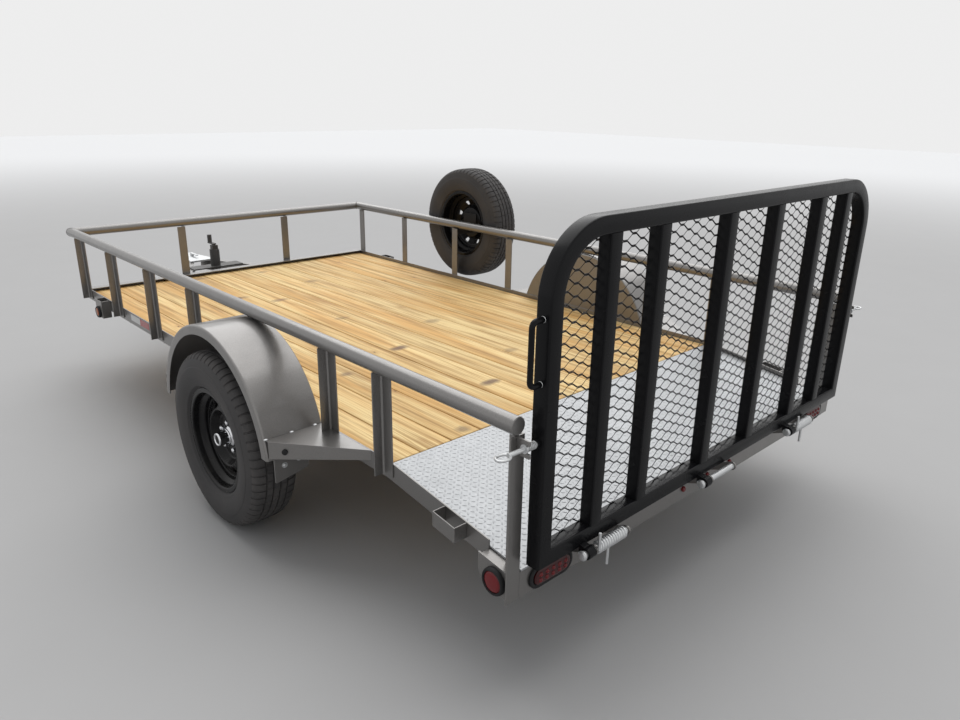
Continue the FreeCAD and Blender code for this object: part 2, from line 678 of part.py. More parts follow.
# Jack: a tube through a plate on the tongue, its head and crank, and the sliding leg.
plate_reach = "%d + (%d - %d) * (tongue_reach - 190 - jack_ahead - 55) / (tongue_reach - 190 + tongue_root)" % (
    TIP, SPLAY, TIP)
jack_tube = rod("jack_tube_outer", (0, "jack_line", "jack_lower"), "z", "jack_radius", "jack_top - jack_lower")
jack_hole = rod("jack_tube_space", (0, "jack_line", "jack_lower - 1"), "z", "jack_radius - jack_wall",
                "jack_top - jack_lower - 5")
jack_bridge = box("jack_bridge", ("-(%s)" % plate_reach, "jack_line - 55", "rail_bottom"),
                  ("2 * (%s)" % plate_reach, 110, 8))
jack_head = box("jack_head", (-20, "jack_line - 20", "jack_top"), (40, 40, 30))
jack_solid = fuse("jack_solid", [jack_tube, jack_bridge, jack_head])
node(cut("jack_housing", jack_solid, jack_hole))
node(fuse("jack_crank", [
    rod("crank_stem", (0, "jack_line", "jack_top + 30"), "z", 9, 8),
    box("crank_arm", (-12, "jack_line - 12", "jack_top + 34"), (24, 88, 8)),
    rod("crank_grip", (0, "jack_line + 62", "jack_top + 42"), "z", 15, 52),
]))
leg_radius = "jack_radius - jack_wall - jack_play"
node(fuse("jack_leg", [
    rod("jack_leg_tube", (0, "jack_line", 6), "z", leg_radius, 284),
    rod("jack_foot", (0, "jack_line", 0), "z", 62, 8),
]))

# Axle, springs and hangers.
node(fuse("axle", [
    rod("axle_tube", ("-track_half + 60", "axle_line", "axle_height"), "x", 30, "2 * (track_half - 60)"),
    rod("axle_spindles", ("-track_half - 10", "axle_line", "axle_height"), "x", "spindle_radius",
        "2 * (track_half + 10)"),
]))
# Leaves of a spring: name, half length, lower face over the axle tube, thickness.
LEAVES = (("main", 330, 12, 7), ("second", 190, 6, 6.5), ("third", 110, 0, 6.5))
SEAT = "axle_height + 30"
EYE_HEIGHT = SEAT + " + 19 + spring_bend - sqrt(spring_bend ^ 2 - 330 ^ 2)"
springs = []
hangers = []
for side, x in (("left", "-rail_half + 14"), ("right", "rail_half - 14 - 45")):
    leaves = []
    for name, half, lift, thick in LEAVES:
        low = "(spring_bend + 12 - %d)" % lift
        high = "(%s - %s)" % (low, thick)
        centre = "%s + 12 + spring_bend" % SEAT
        low_end = "%s - sqrt(%s ^ 2 - %d ^ 2)" % (centre, low, half)
        high_end = "%s - sqrt(%s ^ 2 - %d ^ 2)" % (centre, high, half)
        leaf = outline("%s_%s_leaf" % (side, name), "yz", (x, "axle_line", 0), [[
            (-half, low_end, low, 1),
            (half, low_end),
            (half, high_end, high, -1),
            (-half, high_end),
        ]])
        leaves.append(extrude("%s_%s_leaf" % (side, name), leaf, 45))
    for end, sign in (("rear", -1), ("front", 1)):
        hanger_y = "axle_line + %d * 330 - 28" % sign
        leaves.append(rod("%s_%s_eye" % (side, end), (x, "axle_line + %d * 330" % sign, EYE_HEIGHT), "x", 14, 45))
        for wall, shift in (("inner", " - 5.3"), ("outer", " + 45.3")):
            hangers.append(box("%s_%s_%s_hanger" % (side, end, wall),
                               (x + shift, hanger_y, SEAT + " - 4"),
                               (5, 56, "rail_bottom - (axle_height + 30) + 4 - 0.5")))
    springs.append(fuse(side + "_spring", leaves))
node(group("leaf_springs", springs))
node(group("spring_hangers", hangers))

# Wheels: tyre, rim and hub, revolved about the axle.
TYRE_LOOP = [
    ("rim_half - 4.3", "rim_radius - 15.7"),
    ("rim_half - 4.3", "rim_radius + 1"),
    ("tyre_half - 16", "rim_radius + 8"),
    ("tyre_half - 3", "rim_radius + 38"),
    ("tyre_half", "rim_radius + 64"),
    ("tyre_half - 4", "rim_radius + 92"),
    ("tyre_half - 16", "tyre_radius - 18"),
    ("tyre_half - 30", "tyre_radius - 5"),
    ("tyre_half - 55", "tyre_radius"),
]
tyre_loop = TYRE_LOOP + [("-(%s)" % x, y) for x, y in reversed(TYRE_LOOP)]
RIM_LOOP = [
    ("rim_half", "rim_radius"),
    ("rim_half - 4", "rim_radius"),
    ("rim_half - 4", "rim_radius - 16"),
    ("rim_half - 30", "rim_radius - 18"),
    ("rim_half - 42", "rim_radius - 38"),
    ("-rim_half + 66", "rim_radius - 38"),
    ("-rim_half + 54", "rim_radius - 18"),
    ("-rim_half + 4", "rim_radius - 16"),
    ("-rim_half + 4", "rim_radius"),
    ("-rim_half", "rim_radius"),
    ("-rim_half", "rim_radius - 20"),
    ("-rim_half + 52", "rim_radius - 22"),
    ("-rim_half + 64", "rim_radius - 42"),
    ("10", "rim_radius - 42"),
    ("10", "146"),
    ("34", "112"),
    ("0", "96"),
    ("0", "43"),
    ("5", "43"),
    ("7", "92"),
    ("40", "110"),
    ("20", "148"),
    ("20", "rim_radius - 42"),
    ("rim_half - 40", "rim_radius - 42"),
    ("rim_half - 28", "rim_radius - 22"),
    ("rim_half", "rim_radius - 20"),
]
HUB_LOOP = [
    ("20", "0"),
    ("20", "spindle_radius + 0.3"),
    ("-48", "spindle_radius + 0.3"),
    ("-48", "48"),
    ("-8", "48"),
    ("-8", "68"),
    ("0", "68"),
    ("0", "41"),
    ("14", "41"),
    ("20", "30"),
    ("62", "27"),
    ("66", "20"),
    ("66", "0"),
]
HAND_HOLES, LUG_NUTS = 8, 5
# A hand hole seen along the axle, its middle at 129 mm.
WINDOW_LOOP = [(119, -11), (141, -19), (141, 19), (119, 11)]


def around(x, radius, angle):
    """The point at an angle on a circle about the axle, x out from the wheel's middle."""
    turn = math.radians(angle)
    return (x, "%.4f * (%s)" % (math.cos(turn), radius), "%.4f * (%s)" % (math.sin(turn), radius))


tyre_body = turned("tyre", tyre_loop)
rim_disc = turned("rim", RIM_LOOP)
hub_turning = turned("hub", HUB_LOOP)

# Hand holes through the rim's disc, and the nuts that hold it to the hub.
windows = []
for i in range(HAND_HOLES):
    angle = 360 * (i + 0.5) / HAND_HOLES
    window = outline("rim_window_%d" % (i + 1), "yz", (0, 0, 0), [WINDOW_LOOP])
    spin = FreeCAD.Rotation(FreeCAD.Vector(1, 0, 0), angle)
    window.Placement = FreeCAD.Placement(FreeCAD.Vector(), spin * PLANES["yz"])
    windows.append(extrude("rim_window_%d" % (i + 1), window, "rim_half"))
rim_body = cut("rim_solid", rim_disc, group("rim_windows", windows))
nuts = []
for i in range(LUG_NUTS):
    at = around("6.3", "bolt_circle / 2", 90 + 360 * i / LUG_NUTS)
    nuts.append(rod("lug_nut_%d" % (i + 1), at, "x", 10.5, 20))
hub_body = group("hub_solid", [hub_turning] + nuts)
doc.recompute()


def wheel_piece(label, source, x, y, z, flip):
    """A moved copy of a wheel piece, its outer side towards +X or, flipped, towards -X."""
    piece = doc.addObject("Part::Compound", label)
    piece.Label = label
    piece.Links = [source]
    turn = FreeCAD.Rotation(FreeCAD.Vector(0, 0, 1), 180 if flip else 0)
    piece.Placement = FreeCAD.Placement(FreeCAD.Vector(), turn)
    place(piece, x, y, z)
    return piece


for side, x, flip in (("left", "-track_half", True), ("right", "track_half", False)):
    node(wheel_piece(side + "_tyre", tyre_body, x, "axle_line", "axle_height", flip))
    node(wheel_piece(side + "_rim", rim_body, x, "axle_line", "axle_height", flip))
    node(wheel_piece(side + "_hub", hub_body, x, "axle_line", "axle_height", flip))
node(wheel_piece("spare_tyre", tyre_body, "track_half", "spare_line", "pipe_height", False))
node(wheel_piece("spare_rim", rim_body, "track_half", "spare_line", "pipe_height", False))
node(fuse("spare_mount", [
    box("spare_plate", ("track_half - 6", "spare_line - 60", "pipe_height - 60"), (6, 120, 120)),
    box("spare_arm", ("rail_half + steel", "rear + spare_post - 40", "pipe_height - 60"),
        ("track_half - rail_half - steel - 6", 40, 30)),
]))

# Ramp gate: bent tube frame, bars, mesh, handle and the hinge lugs.
gate_rear = "rear - gate_gap - gate_tube"
side_in = "gate_half - gate_tube"
round_in = "gate_round - gate_tube"
gate_loop = [
    ("gate_half", "gate_bottom"),
    ("gate_half", "gate_top - gate_round", "gate_round", 1),
    ("gate_half - gate_round", "gate_top"),
    ("-gate_half + gate_round", "gate_top", "gate_round", 1),
    ("-gate_half", "gate_top - gate_round"),
    ("-gate_half", "gate_bottom"),
]
gate_hole = [
    (side_in, "gate_bottom + gate_tube"),
    (side_in, "gate_top - gate_round", round_in, 1),
    ("gate_half - gate_round", "gate_top - gate_tube"),
    ("-gate_half + gate_round", "gate_top - gate_tube", round_in, 1),
    ("-(%s)" % side_in, "gate_top - gate_round"),
    ("-(%s)" % side_in, "gate_bottom + gate_tube"),
]
gate_sketch = outline("gate_frame", "xz", (0, gate_rear, 0), [gate_loop, gate_hole])
node(extrude("gate_frame", gate_sketch, "gate_tube"))
BAR_CENTRES = (-703, -486, -127, 175, 499, 716)
bars = []
for i, x in enumerate(BAR_CENTRES):
    bars.append(box("gate_bar_%d" % (i + 1),
                    ("%d - gate_tube / 2" % x, gate_rear, "gate_bottom + gate_tube"),
                    ("gate_tube", "gate_tube - 6", "gate_top - gate_bottom - 2 * gate_tube")))
node(group("gate_bars", bars))

# Expanded mesh: two layers of strands that lean either way, clipped to the frame's opening.
lean = math.degrees(math.atan2(amount_of("mesh_short"), amount_of("mesh_long")))
reach = amount_of("gate_half") / math.cos(math.radians(lean))
mesh_middle = "(gate_top + gate_bottom) / 2"
half_rows = int((amount_of("gate_top - gate_bottom") / 2 + amount_of("gate_half * mesh_short / mesh_long"))
                / amount_of("mesh_short")) + 1
layers = []
for layer, side, depth in (("falling", 1, "2 * strand_thick"), ("rising", -1, "strand_thick")):
    strands = []
    level = "rear - gate_gap - 2 - " + depth
    for row in range(-half_rows, half_rows + 1):
        name = "%s_strand_%d" % (layer, row + half_rows + 1)
        strand = box(name, (0, 0, 0), (2 * reach, "strand_thick", "strand"))
        turn = FreeCAD.Rotation(FreeCAD.Vector(0, 1, 0), side * lean)
        strand.Placement = FreeCAD.Placement(FreeCAD.Vector(), turn)
        rise = "%d * gate_half * mesh_short / mesh_long" % side
        place(strand, "-gate_half", level, "%s + %d * mesh_short + %s" % (mesh_middle, row, rise))
        strands.append(strand)
    opening = outline(layer + "_opening", "xz", (0, level + " - 1", 0), [gate_hole])
    clipped = doc.addObject("Part::MultiCommon", layer + "_strands")
    clipped.Shapes = [group(layer + "_sheet", strands), extrude(layer + "_opening", opening, 8)]
    layers.append(clipped)
node(group("gate_mesh", layers))
handle_low = "gate_top - 396"
node(fuse("gate_handle", [
    rod("handle_grip", ("-gate_half - 38", gate_rear + " + gate_tube / 2", handle_low), "z", 6, 165),
    rod("handle_low", ("-gate_half - 38", gate_rear + " + gate_tube / 2", handle_low), "x", 6, 38),
    rod("handle_high", ("-gate_half - 38", gate_rear + " + gate_tube / 2", handle_low + " + 165"), "x", 6, 38),
]))

# Hinges: each a gate lug on a pin between two ears of the light box; the outer two carry springs.
HINGES = (
    ("left", "-gate_half + 165", True),
    ("middle", "-gate_half + 777", False),
    ("right", "-gate_half + 1389", True),
)
lugs = []
ears = []
pins = []
gate_springs = []
for name, x, sprung in HINGES:
    eye = fuse(name + "_lug_solid", [
        box(name + "_lug_tab", (x, "hinge_line", "hinge_height - 6"),
            (30, "hinge_out", "hinge_drop + 34")),
        rod(name + "_lug_eye", (x, "hinge_line", "hinge_height"), "x", "hinge_radius + 7", 30),
    ])
    hole = rod(name + "_lug_hole", (x + " - 1", "hinge_line", "hinge_height"), "x", "hinge_radius + 0.4", 32)
    lugs.append(cut(name + "_lug", eye, hole))
    for end, shift in (("near", 36), ("far", 186)):
        ear_sketch = outline("%s_%s_ear" % (name, end), "yz", ("%s + %d" % (x, shift), 0, 0), [[
            ("rear", "hinge_height - 44"),
            ("rear", "hinge_height - 15"),
            ("hinge_line", "hinge_height + hinge_radius + 4", "hinge_radius + 4", 1),
            ("hinge_line - hinge_radius - 4", "hinge_height", "hinge_radius + 4", 1),
            ("hinge_line", "hinge_height - hinge_radius - 4"),
        ]])
        ear_plate = extrude("%s_%s_ear_plate" % (name, end), ear_sketch, 6)
        ear_hole = rod("%s_%s_ear_hole" % (name, end), ("%s + %d" % (x, shift - 1), "hinge_line", "hinge_height"),
                       "x", "hinge_radius + 0.2", 8)
        ears.append(cut("%s_%s_ear" % (name, end), ear_plate, ear_hole))
    pins.append(fuse(name + "_hinge_pin", [
        rod(name + "_pin_shank", (x + " - 8", "hinge_line", "hinge_height"), "x", "hinge_radius", 206),
        rod(name + "_pin_head", (x + " - 18", "hinge_line", "hinge_height"), "x", "hinge_radius + 4", 10),
    ]))
    if not sprung:
        continue
    coil = rod(name + "_coil", (x + " + 44", "hinge_line", "hinge_height"), "x", "spring_radius", 138)
    bore = rod(name + "_coil_bore", (x + " + 43", "hinge_line", "hinge_height"), "x", "hinge_radius + 0.3", 140)
    gate_springs.append(cut(name + "_gate_spring", coil, bore))
node(group("gate_lugs", lugs))
node(group("hinge_ears", ears))
node(group("hinge_pins", pins))
node(group("gate_springs", gate_springs))

# Latches: a pin held by the gate drops into a forked lug on each rear post.
latch_line = "rear - 27"
fork = outline("left_latch_fork", "yz", ("-rail_half - 30", "rear", "latch_height"), [[
    (0, -24),
    (-44, -24),
    (-44, "-hinge_radius"),
    (-20, "-hinge_radius"),
    (-20, "hinge_radius"),
    (-44, "hinge_radius"),
    (-44, 24),
    (0, 24),
]])
left_fork = extrude("left_latch_fork", fork, 6)
node(group("latch_forks", [left_fork, mirror("right_latch_fork", left_fork)]))
left_pin = fuse("left_latch_pin", [
    rod("left_latch_shank", ("-gate_half - 105", latch_line, "latch_height"), "x", 6.5, 105),
    rod("left_latch_knob", ("-gate_half - 117", latch_line, "latch_height"), "x", 13, 12),
])
node(group("latch_pins", [left_pin, mirror("right_latch_pin", left_pin)]))


# Lamps: oval tail lamps, three small ones between them, and round markers on the skirts and pockets.
def oval(label, x, half_length, half_height, thick):
    straight = half_length - half_height
    sketch = outline(label, "xz", (x, "rear", "lamp_height"), [[
        (-straight, -half_height),
        (straight, -half_height, half_height, 1),
        (half_length, 0, half_height, 1),
        (straight, half_height),
        (-straight, half_height, half_height, 1),
        (-half_length, 0, half_height, 1),
    ]])
    return extrude(label, sketch, "-%d" % thick)


lenses = []
rings = []
ambers = []
for side, x in (("left", "-rail_half + 126"), ("right", "rail_half - 126")):
    lenses.append(oval(side + "_tail_lens", x, 76, 25, 13))
    outer_ring = oval(side + "_tail_ring_outer", x, 90, 37, 9)
    ring_hole = oval(side + "_tail_ring_hole", x, 76, 25, 13)
    rings.append(cut(side + "_tail_ring", outer_ring, ring_hole))
for side, x in (("left", -153), ("middle", 0), ("right", 153)):
    lenses.append(rod(side + "_small_lens", (x, "rear - 8", "lamp_height"), "y", 12, 8))
# Round markers: name, row of lenses, X, distance ahead of the rear end, height, lens and ring radius.
MARKERS = (
    ("left_marker", lenses, "-box_half - 14", "62", "lamp_height", 32, 42),
    ("right_marker", lenses, "box_half", "62", "lamp_height", 32, 42),
    ("left_amber", ambers, "-rail_half - 62", "bed_length - 345", "rail_top - 66", 26, 33),
    ("right_amber", ambers, "rail_half + 48", "bed_length - 345", "rail_top - 66", 26, 33),
)
for name, row, x, ahead, z, lens, ring in MARKERS:
    at = (x, "rear + " + ahead, z)
    row.append(rod(name + "_lens", at, "x", lens, 14))
    ring_outer = rod(name + "_ring_outer", at, "x", ring, 14)
    rings.append(cut(name + "_ring", ring_outer, rod(name + "_ring_space", at, "x", lens, 14)))
node(group("tail_lamps", lenses))
node(group("amber_markers", ambers))
node(group("lamp_grommets", rings))

doc.recompute()
bad = [o.Label for o in doc.Objects if "Invalid" in o.State or "Error" in o.State]
if bad:
    raise RuntimeError("pieces that don't build: " + ", ".join(bad))
os.makedirs("parts", exist_ok=True)
for piece in NODES:
    shape = piece.Shape
    if shape.isNull() or not shape.isValid() or not shape.Solids:
        raise RuntimeError(piece.Label + " has no sound shape")
    shape.exportStep("parts/" + piece.Label + ".step")
print(len(NODES), "nodes written")
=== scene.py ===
"""Single-axle utility trailer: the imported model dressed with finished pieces, materials and a stage.

+Y is forward, +X is the trailer's right, +Z is up, and every length is in metres. Each piece sits where
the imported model's own pieces are.
"""

import bmesh
import bpy
import math
import random
from functools import cache
from mathutils import Matrix, Vector


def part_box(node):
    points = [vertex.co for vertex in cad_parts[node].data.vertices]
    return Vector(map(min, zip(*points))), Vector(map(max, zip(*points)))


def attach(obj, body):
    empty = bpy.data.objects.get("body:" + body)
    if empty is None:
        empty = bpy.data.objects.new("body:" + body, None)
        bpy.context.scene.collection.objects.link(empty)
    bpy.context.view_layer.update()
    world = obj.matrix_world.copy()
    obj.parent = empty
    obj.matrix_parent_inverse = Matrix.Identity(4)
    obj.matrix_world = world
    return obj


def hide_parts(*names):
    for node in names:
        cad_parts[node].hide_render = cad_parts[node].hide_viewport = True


bl_info = {
    "name": "Utility trailer",
    "version": (1, 0, 0),
    "blender": (4, 5, 0),
    "location": "3D View > Sidebar > Trailer",
    "description": "Builds the finished pieces of a single-axle utility trailer",
    "category": "Object",
}

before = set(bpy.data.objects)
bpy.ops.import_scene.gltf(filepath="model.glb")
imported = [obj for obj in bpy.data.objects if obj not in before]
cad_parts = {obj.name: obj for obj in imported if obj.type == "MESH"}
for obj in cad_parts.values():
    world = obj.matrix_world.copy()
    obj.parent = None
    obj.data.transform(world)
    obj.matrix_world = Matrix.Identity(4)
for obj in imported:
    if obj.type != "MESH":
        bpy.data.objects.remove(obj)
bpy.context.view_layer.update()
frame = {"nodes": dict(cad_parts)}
NODES = frame["nodes"]

LEFT, RIGHT = -1, 1
SIDES = (("left", LEFT), ("right", RIGHT))
# Edges sharper than this, in degrees, stay sharp unless a piece says otherwise.
CREASE = 32.0
# Half of the bed's width over its side rails, and the height of the rear lamps.
RAIL_HALF = 0.958
LAMP_HEIGHT = 0.336
# Heels of the side uprights ahead of the rear end; the second one stands on the gusset.
POST_HEELS = (0.607, 0.914, 1.980, 2.4715, 3.002, 3.517)
GUSSET_POST = POST_HEELS[1]


def low(node):
    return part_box(node)[0]


def high(node):
    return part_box(node)[1]


def middle(node):
    return (low(node) + high(node)) / 2


# The top rail's rear end, its radius, its left run's centre and the centre line of its front run.
REAR = low("left_top_rail").y
PIPE = (high("left_top_rail").z - low("left_top_rail").z) / 2
TOP_RAIL = middle("left_top_rail")
FRONT = high("left_top_rail").y - PIPE
AXLE = middle("left_tyre")
HINGE = middle("hinge_pins")
# The gate's square tube, and the centre line of the frame bent from it.
TUBE = 0.048
GATE_LOW, GATE_HIGH = low("gate_frame"), high("gate_frame")
GATE_HALF = GATE_HIGH.x - TUBE / 2
GATE_BOTTOM, GATE_TOP = GATE_LOW.z + TUBE / 2, GATE_HIGH.z - TUBE / 2
GATE_BEND = 0.195 - TUBE / 2


def colour_setting(name, description, default):
    return bpy.props.FloatVectorProperty(
        name=name, description=description, subtype="COLOR", default=default)


def length_setting(name, description, default):
    return bpy.props.FloatProperty(name=name, description=description, unit="LENGTH", default=default)


class TrailerColours(bpy.types.PropertyGroup):
    """Colours of the trailer's finishes"""

    frame: colour_setting("Frame", "Grey paint of the frame", (0.222, 0.214, 0.207))
    gate: colour_setting("Gate", "Black paint of the ramp gate", (0.009, 0.009, 0.01))
    wood: colour_setting("Wood", "Pale wood between the grain lines", (1.0, 0.76, 0.37))
    grain: colour_setting("Grain", "Darker wood of the grain lines", (0.6, 0.34, 0.11))
    tread_plate: colour_setting("Tread plate", "Bright metal of the dovetail", (0.46, 0.47, 0.48))
    rubber: colour_setting("Rubber", "Tyre rubber", (0.036, 0.036, 0.038))
    dust: colour_setting("Dust", "Road dust on the tread", (0.15, 0.138, 0.13))
    red_lens: colour_setting("Red lens", "Red lamps", (0.22, 0.008, 0.012))
    amber_lens: colour_setting("Amber lens", "Front side markers", (0.42, 0.09, 0.01))


class TrailerSizes(bpy.types.PropertyGroup):
    """Sizes of the trailer's repeated details"""

    mesh_long: length_setting("Mesh long way", "Knuckle to knuckle along the gate", 0.0762)
    mesh_short: length_setting("Mesh short way", "Knuckle to knuckle up the gate", 0.0335)
    strand: length_setting("Strand", "Width of a strand of the mesh", 0.0038)
    lug_pitch: length_setting("Lug pitch", "Spacing of the tread plate's lugs", 0.018)
    tread_blocks: bpy.props.IntProperty(
        name="Tread blocks", description="Blocks around a tyre's tread", default=64)
    steel_edge: length_setting("Steel edge", "Rounding of the steel's edges", 0.0011)


class TrailerStage(bpy.types.PropertyGroup):
    """The floor, the light and the camera"""

    floor: colour_setting("Floor", "Colour of the floor near the trailer", (0.52, 0.515, 0.51))
    backdrop: colour_setting("Backdrop", "Colour of the sky and of the distant floor", (0.86, 0.86, 0.86))
    sky: bpy.props.FloatProperty(
        name="Sky", description="Strength of the soft light from all round", default=0.47)
    key: bpy.props.FloatProperty(
        name="Key", description="Strength of the wide soft sun", default=2.1)
    lens: bpy.props.FloatProperty(
        name="Lens", description="Focal length of the camera in millimetres", default=27.81)


# Shapes


def eased(points, radius, steps=4, closed=True):
    """Round the corners of a line of points, 2-D or 3-D."""
    points = [Vector(p) for p in points]
    out = []
    count = len(points)
    for i, here in enumerate(points):
        if not closed and i in (0, count - 1):
            out.append(here)
            continue
        back = points[i - 1] - here
        ahead = points[(i + 1) % count] - here
        cut = min(radius, back.length * 0.45, ahead.length * 0.45)
        first = here + back.normalized() * cut
        last = here + ahead.normalized() * cut
        for k in range(steps + 1):
            t = k / steps
            out.append(first * (1 - t) ** 2 + here * 2 * t * (1 - t) + last * t ** 2)
    return out


def mesh_from(name, bm, crease=None):
    """Turn a bmesh into a mesh, smooth but for edges sharper than crease degrees, or all flat."""
    mesh = bpy.data.meshes.new(name)
    bm.to_mesh(mesh)
    bm.free()
    if crease:
        mesh.shade_smooth()
        mesh.set_sharp_from_angle(angle=math.radians(crease))
    return mesh


def closed_mesh(name, bm, crease=CREASE):
    """Turn a bmesh into a mesh with its seams joined and its faces turned outwards."""
    bmesh.ops.remove_doubles(bm, verts=bm.verts, dist=1e-6)
    bmesh.ops.recalc_face_normals(bm, faces=bm.faces)
    return mesh_from(name, bm, crease)


def skin(bm, rings, around=True, closed=False, caps=True):
    """Join rings of points with faces."""
    made = [[bm.verts.new(p) for p in ring] for ring in rings]
    size = len(made[0])
    pairs = list(zip(made, made[1:])) + ([(made[-1], made[0])] if closed else [])
    for a, b in pairs:
        for i in range(size if around else size - 1):
            j = (i + 1) % size
            bm.faces.new((a[i], a[j], b[j], b[i]))
    if caps and around and not closed:
        bm.faces.new(made[0])
        bm.faces.new(made[-1])
    return made


def lathe(bm, profile, centre, side=1, sweep=360.0, steps=96, closed=True):
    """Turn a profile of (along X, radius) points about the line through centre along X."""
    full = sweep == 360.0
    rings = []
    for i in range(steps if full else steps + 1):
        turn = math.radians(sweep * i / steps)
        rings.append([
            (centre.x + side * p[0], centre.y + p[1] * math.cos(turn), centre.z + p[1] * math.sin(turn))
            for p in profile
        ])
    skin(bm, rings, around=closed, closed=full, caps=closed)


def round_rect(width, height, radius):
    w, h = width / 2, height / 2
    return eased([(-w, -h), (w, -h), (w, h), (-w, h)], radius, 3)


def ring_of(radius, sides):
    turns = [2 * math.pi * i / sides for i in range(sides)]
    return [(radius * math.cos(turn), radius * math.sin(turn)) for turn in turns]


def stadium(half_length, half_height):
    """The outline of a long shape with half-round ends."""
    out = []
    steps = 10
    for side, first in ((1, -90), (-1, 90)):
        for k in range(steps + 1):
            turn = math.radians(first + 180 * k / steps)
            out.append((side * (half_length - half_height) + half_height * math.cos(turn),
                        half_height * math.sin(turn)))
    return out


def tube(bm, points, radius, sides=12, corner=0.0):
    """A round bar along a line of points."""
    path = eased(points, corner, 6, closed=False) if corner else [Vector(p) for p in points]
    side = None
    rings = []
    for i, here in enumerate(path):
        ahead = (path[min(i + 1, len(path) - 1)] - path[max(i - 1, 0)]).normalized()
        if side is None:
            side = ahead.orthogonal().normalized()
        side = (side - ahead * side.dot(ahead)).normalized()
        over = ahead.cross(side)
        rings.append([here + side * a + over * b for a, b in ring_of(radius, sides)])
    skin(bm, rings)


def prism(bm, outline, thickness, place):
    """A plate with a 2-D outline, thickness along its third axis, put in place by a matrix."""
    skin(bm, [[place @ Vector((a, b, depth)) for a, b in outline] for depth in (0.0, thickness)])


def stack(bm, outline, levels, place):
    """Layers of one outline, each (inset, height), closed at both ends."""
    rings = []
    reach = max(abs(c) for p in outline for c in p)
    for inset, height in levels:
        narrowed = [(a * (1 - inset / reach), b - math.copysign(min(inset, abs(b)), b)) for a, b in outline]
        rings.append([place @ Vector((*point, height)) for point in narrowed])
    skin(bm, rings)


def block(bm, lowest, highest, edge, segments):
    """A box with rounded edges between two corners."""
    lowest, highest = Vector(lowest), Vector(highest)
    made = bmesh.ops.create_cube(bm, size=1.0, matrix=Matrix.LocRotScale(
        (lowest + highest) / 2, None, highest - lowest))
    edges = {e for v in made["verts"] for e in v.link_edges}
    bmesh.ops.bevel(bm, geom=list(edges), offset=edge, segments=segments, affect="EDGES", profile=0.5)


def bead(bm, at, radius, scale=(1, 1, 1)):
    """A small ball, which the scale can flatten."""
    bmesh.ops.create_uvsphere(
        bm, u_segments=12, v_segments=7, radius=radius, matrix=Matrix.LocRotScale(at, None, scale))


def axes(right, up, origin=(0, 0, 0)):
    """A matrix whose first two axes are right and up."""
    right, up = Vector(right), Vector(up)
    out = Matrix((right, up, right.cross(up))).transposed().to_4x4()
    out.translation = Vector(origin)
    return out


def on_rear(x, y, z):
    """A matrix for flat shapes that face the rear."""
    return axes((1, 0, 0), (0, 0, 1), (x, y, z))


# Pieces


def put(name, mesh, finish, body="chassis", stands_for=()):
    """Add a mesh to the scene as a piece that rides on a body."""
    piece = bpy.data.objects.new(name, mesh)
    bpy.context.scene.collection.objects.link(piece)
    mesh.materials.clear()
    mesh.materials.append(finish_of(finish))
    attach(piece, body)
    if stands_for:
        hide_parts(*stands_for)
    return piece


def put_shape(name, bm, finish, body="chassis", stands_for=(), crease=CREASE):
    """Close up a bmesh and add it as a piece."""
    return put(name, closed_mesh(name, bm, crease), finish, body, stands_for)


def steel_copy(node, finish, body="chassis", edge=None):
    """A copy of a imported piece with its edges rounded, which stands for it."""
    name = node + "_finished"
    bm = bmesh.new()
    bm.from_mesh(NODES[node].data)
    bmesh.ops.remove_doubles(bm, verts=bm.verts, dist=1e-5)
    bmesh.ops.dissolve_limit(bm, angle_limit=math.radians(0.5), verts=bm.verts, edges=bm.edges)
    piece = put(name, mesh_from(name, bm, CREASE), finish, body, (node,))
    bevel = piece.modifiers.new("edges", "BEVEL")
    bevel.width = edge or bpy.context.scene.trailer_sizes.steel_edge
    bevel.segments = 2
    bevel.limit_method = "ANGLE"
    bevel.angle_limit = math.radians(CREASE)
    bevel.harden_normals = True
    return piece


# Nodes


def new_node(tree, kind, inputs=None, **settings):
    """Add a node, set it up, and link or set its inputs."""
    made = tree.nodes.new(kind)
    for key, value in settings.items():
        setattr(made, key, value)
    for key, value in (inputs or {}).items():
        if isinstance(value, bpy.types.NodeSocket):
            tree.links.new(value, made.inputs[key])
        else:
            made.inputs[key].default_value = value
    return made


def add(tree, kind, inputs=None, **settings):
    """Add a node and give its first output."""
    return new_node(tree, kind, inputs, **settings).outputs[0]


def calc(tree, operation, a, b=0.0, c=0.0):
    return add(tree, "ShaderNodeMath", {0: a, 1: b, 2: c}, operation=operation)


def xyz(tree, x=0.0, y=0.0, z=0.0):
    return add(tree, "ShaderNodeCombineXYZ", {"X": x, "Y": y, "Z": z})


def split(tree, vector):
    return new_node(tree, "ShaderNodeSeparateXYZ", {0: vector}).outputs


def length_of(tree, vector):
    return new_node(tree, "ShaderNodeVectorMath", {0: vector}, operation="LENGTH").outputs[1]


# Geometry node trees


def geometry_tree(name, **inputs):
    """A node tree with a geometry input and output, inputs named by kind, and a finish."""
    tree = bpy.data.node_groups.new(name, "GeometryNodeTree")
    tree.interface.new_socket(name="Geometry", in_out="OUTPUT", socket_type="NodeSocketGeometry")
    kinds = {"Geometry": ("Geometry",), **inputs, "Material": ("Finish",)}
    for kind, labels in kinds.items():
        for label in labels:
            tree.interface.new_socket(name=label, in_out="INPUT", socket_type="NodeSocket" + kind)
    return tree, tree.nodes.new("NodeGroupInput").outputs


def close_tree(tree, given, geometry):
    """Make a tree's instances real, give them the finish and put them out."""
    real = add(tree, "GeometryNodeRealizeInstances", {"Geometry": geometry})
    coated_shape = add(tree, "GeometryNodeSetMaterial", {"Geometry": real, "Material": given["Finish"]})
    new_node(tree, "NodeGroupOutput", {0: coated_shape})
    return tree


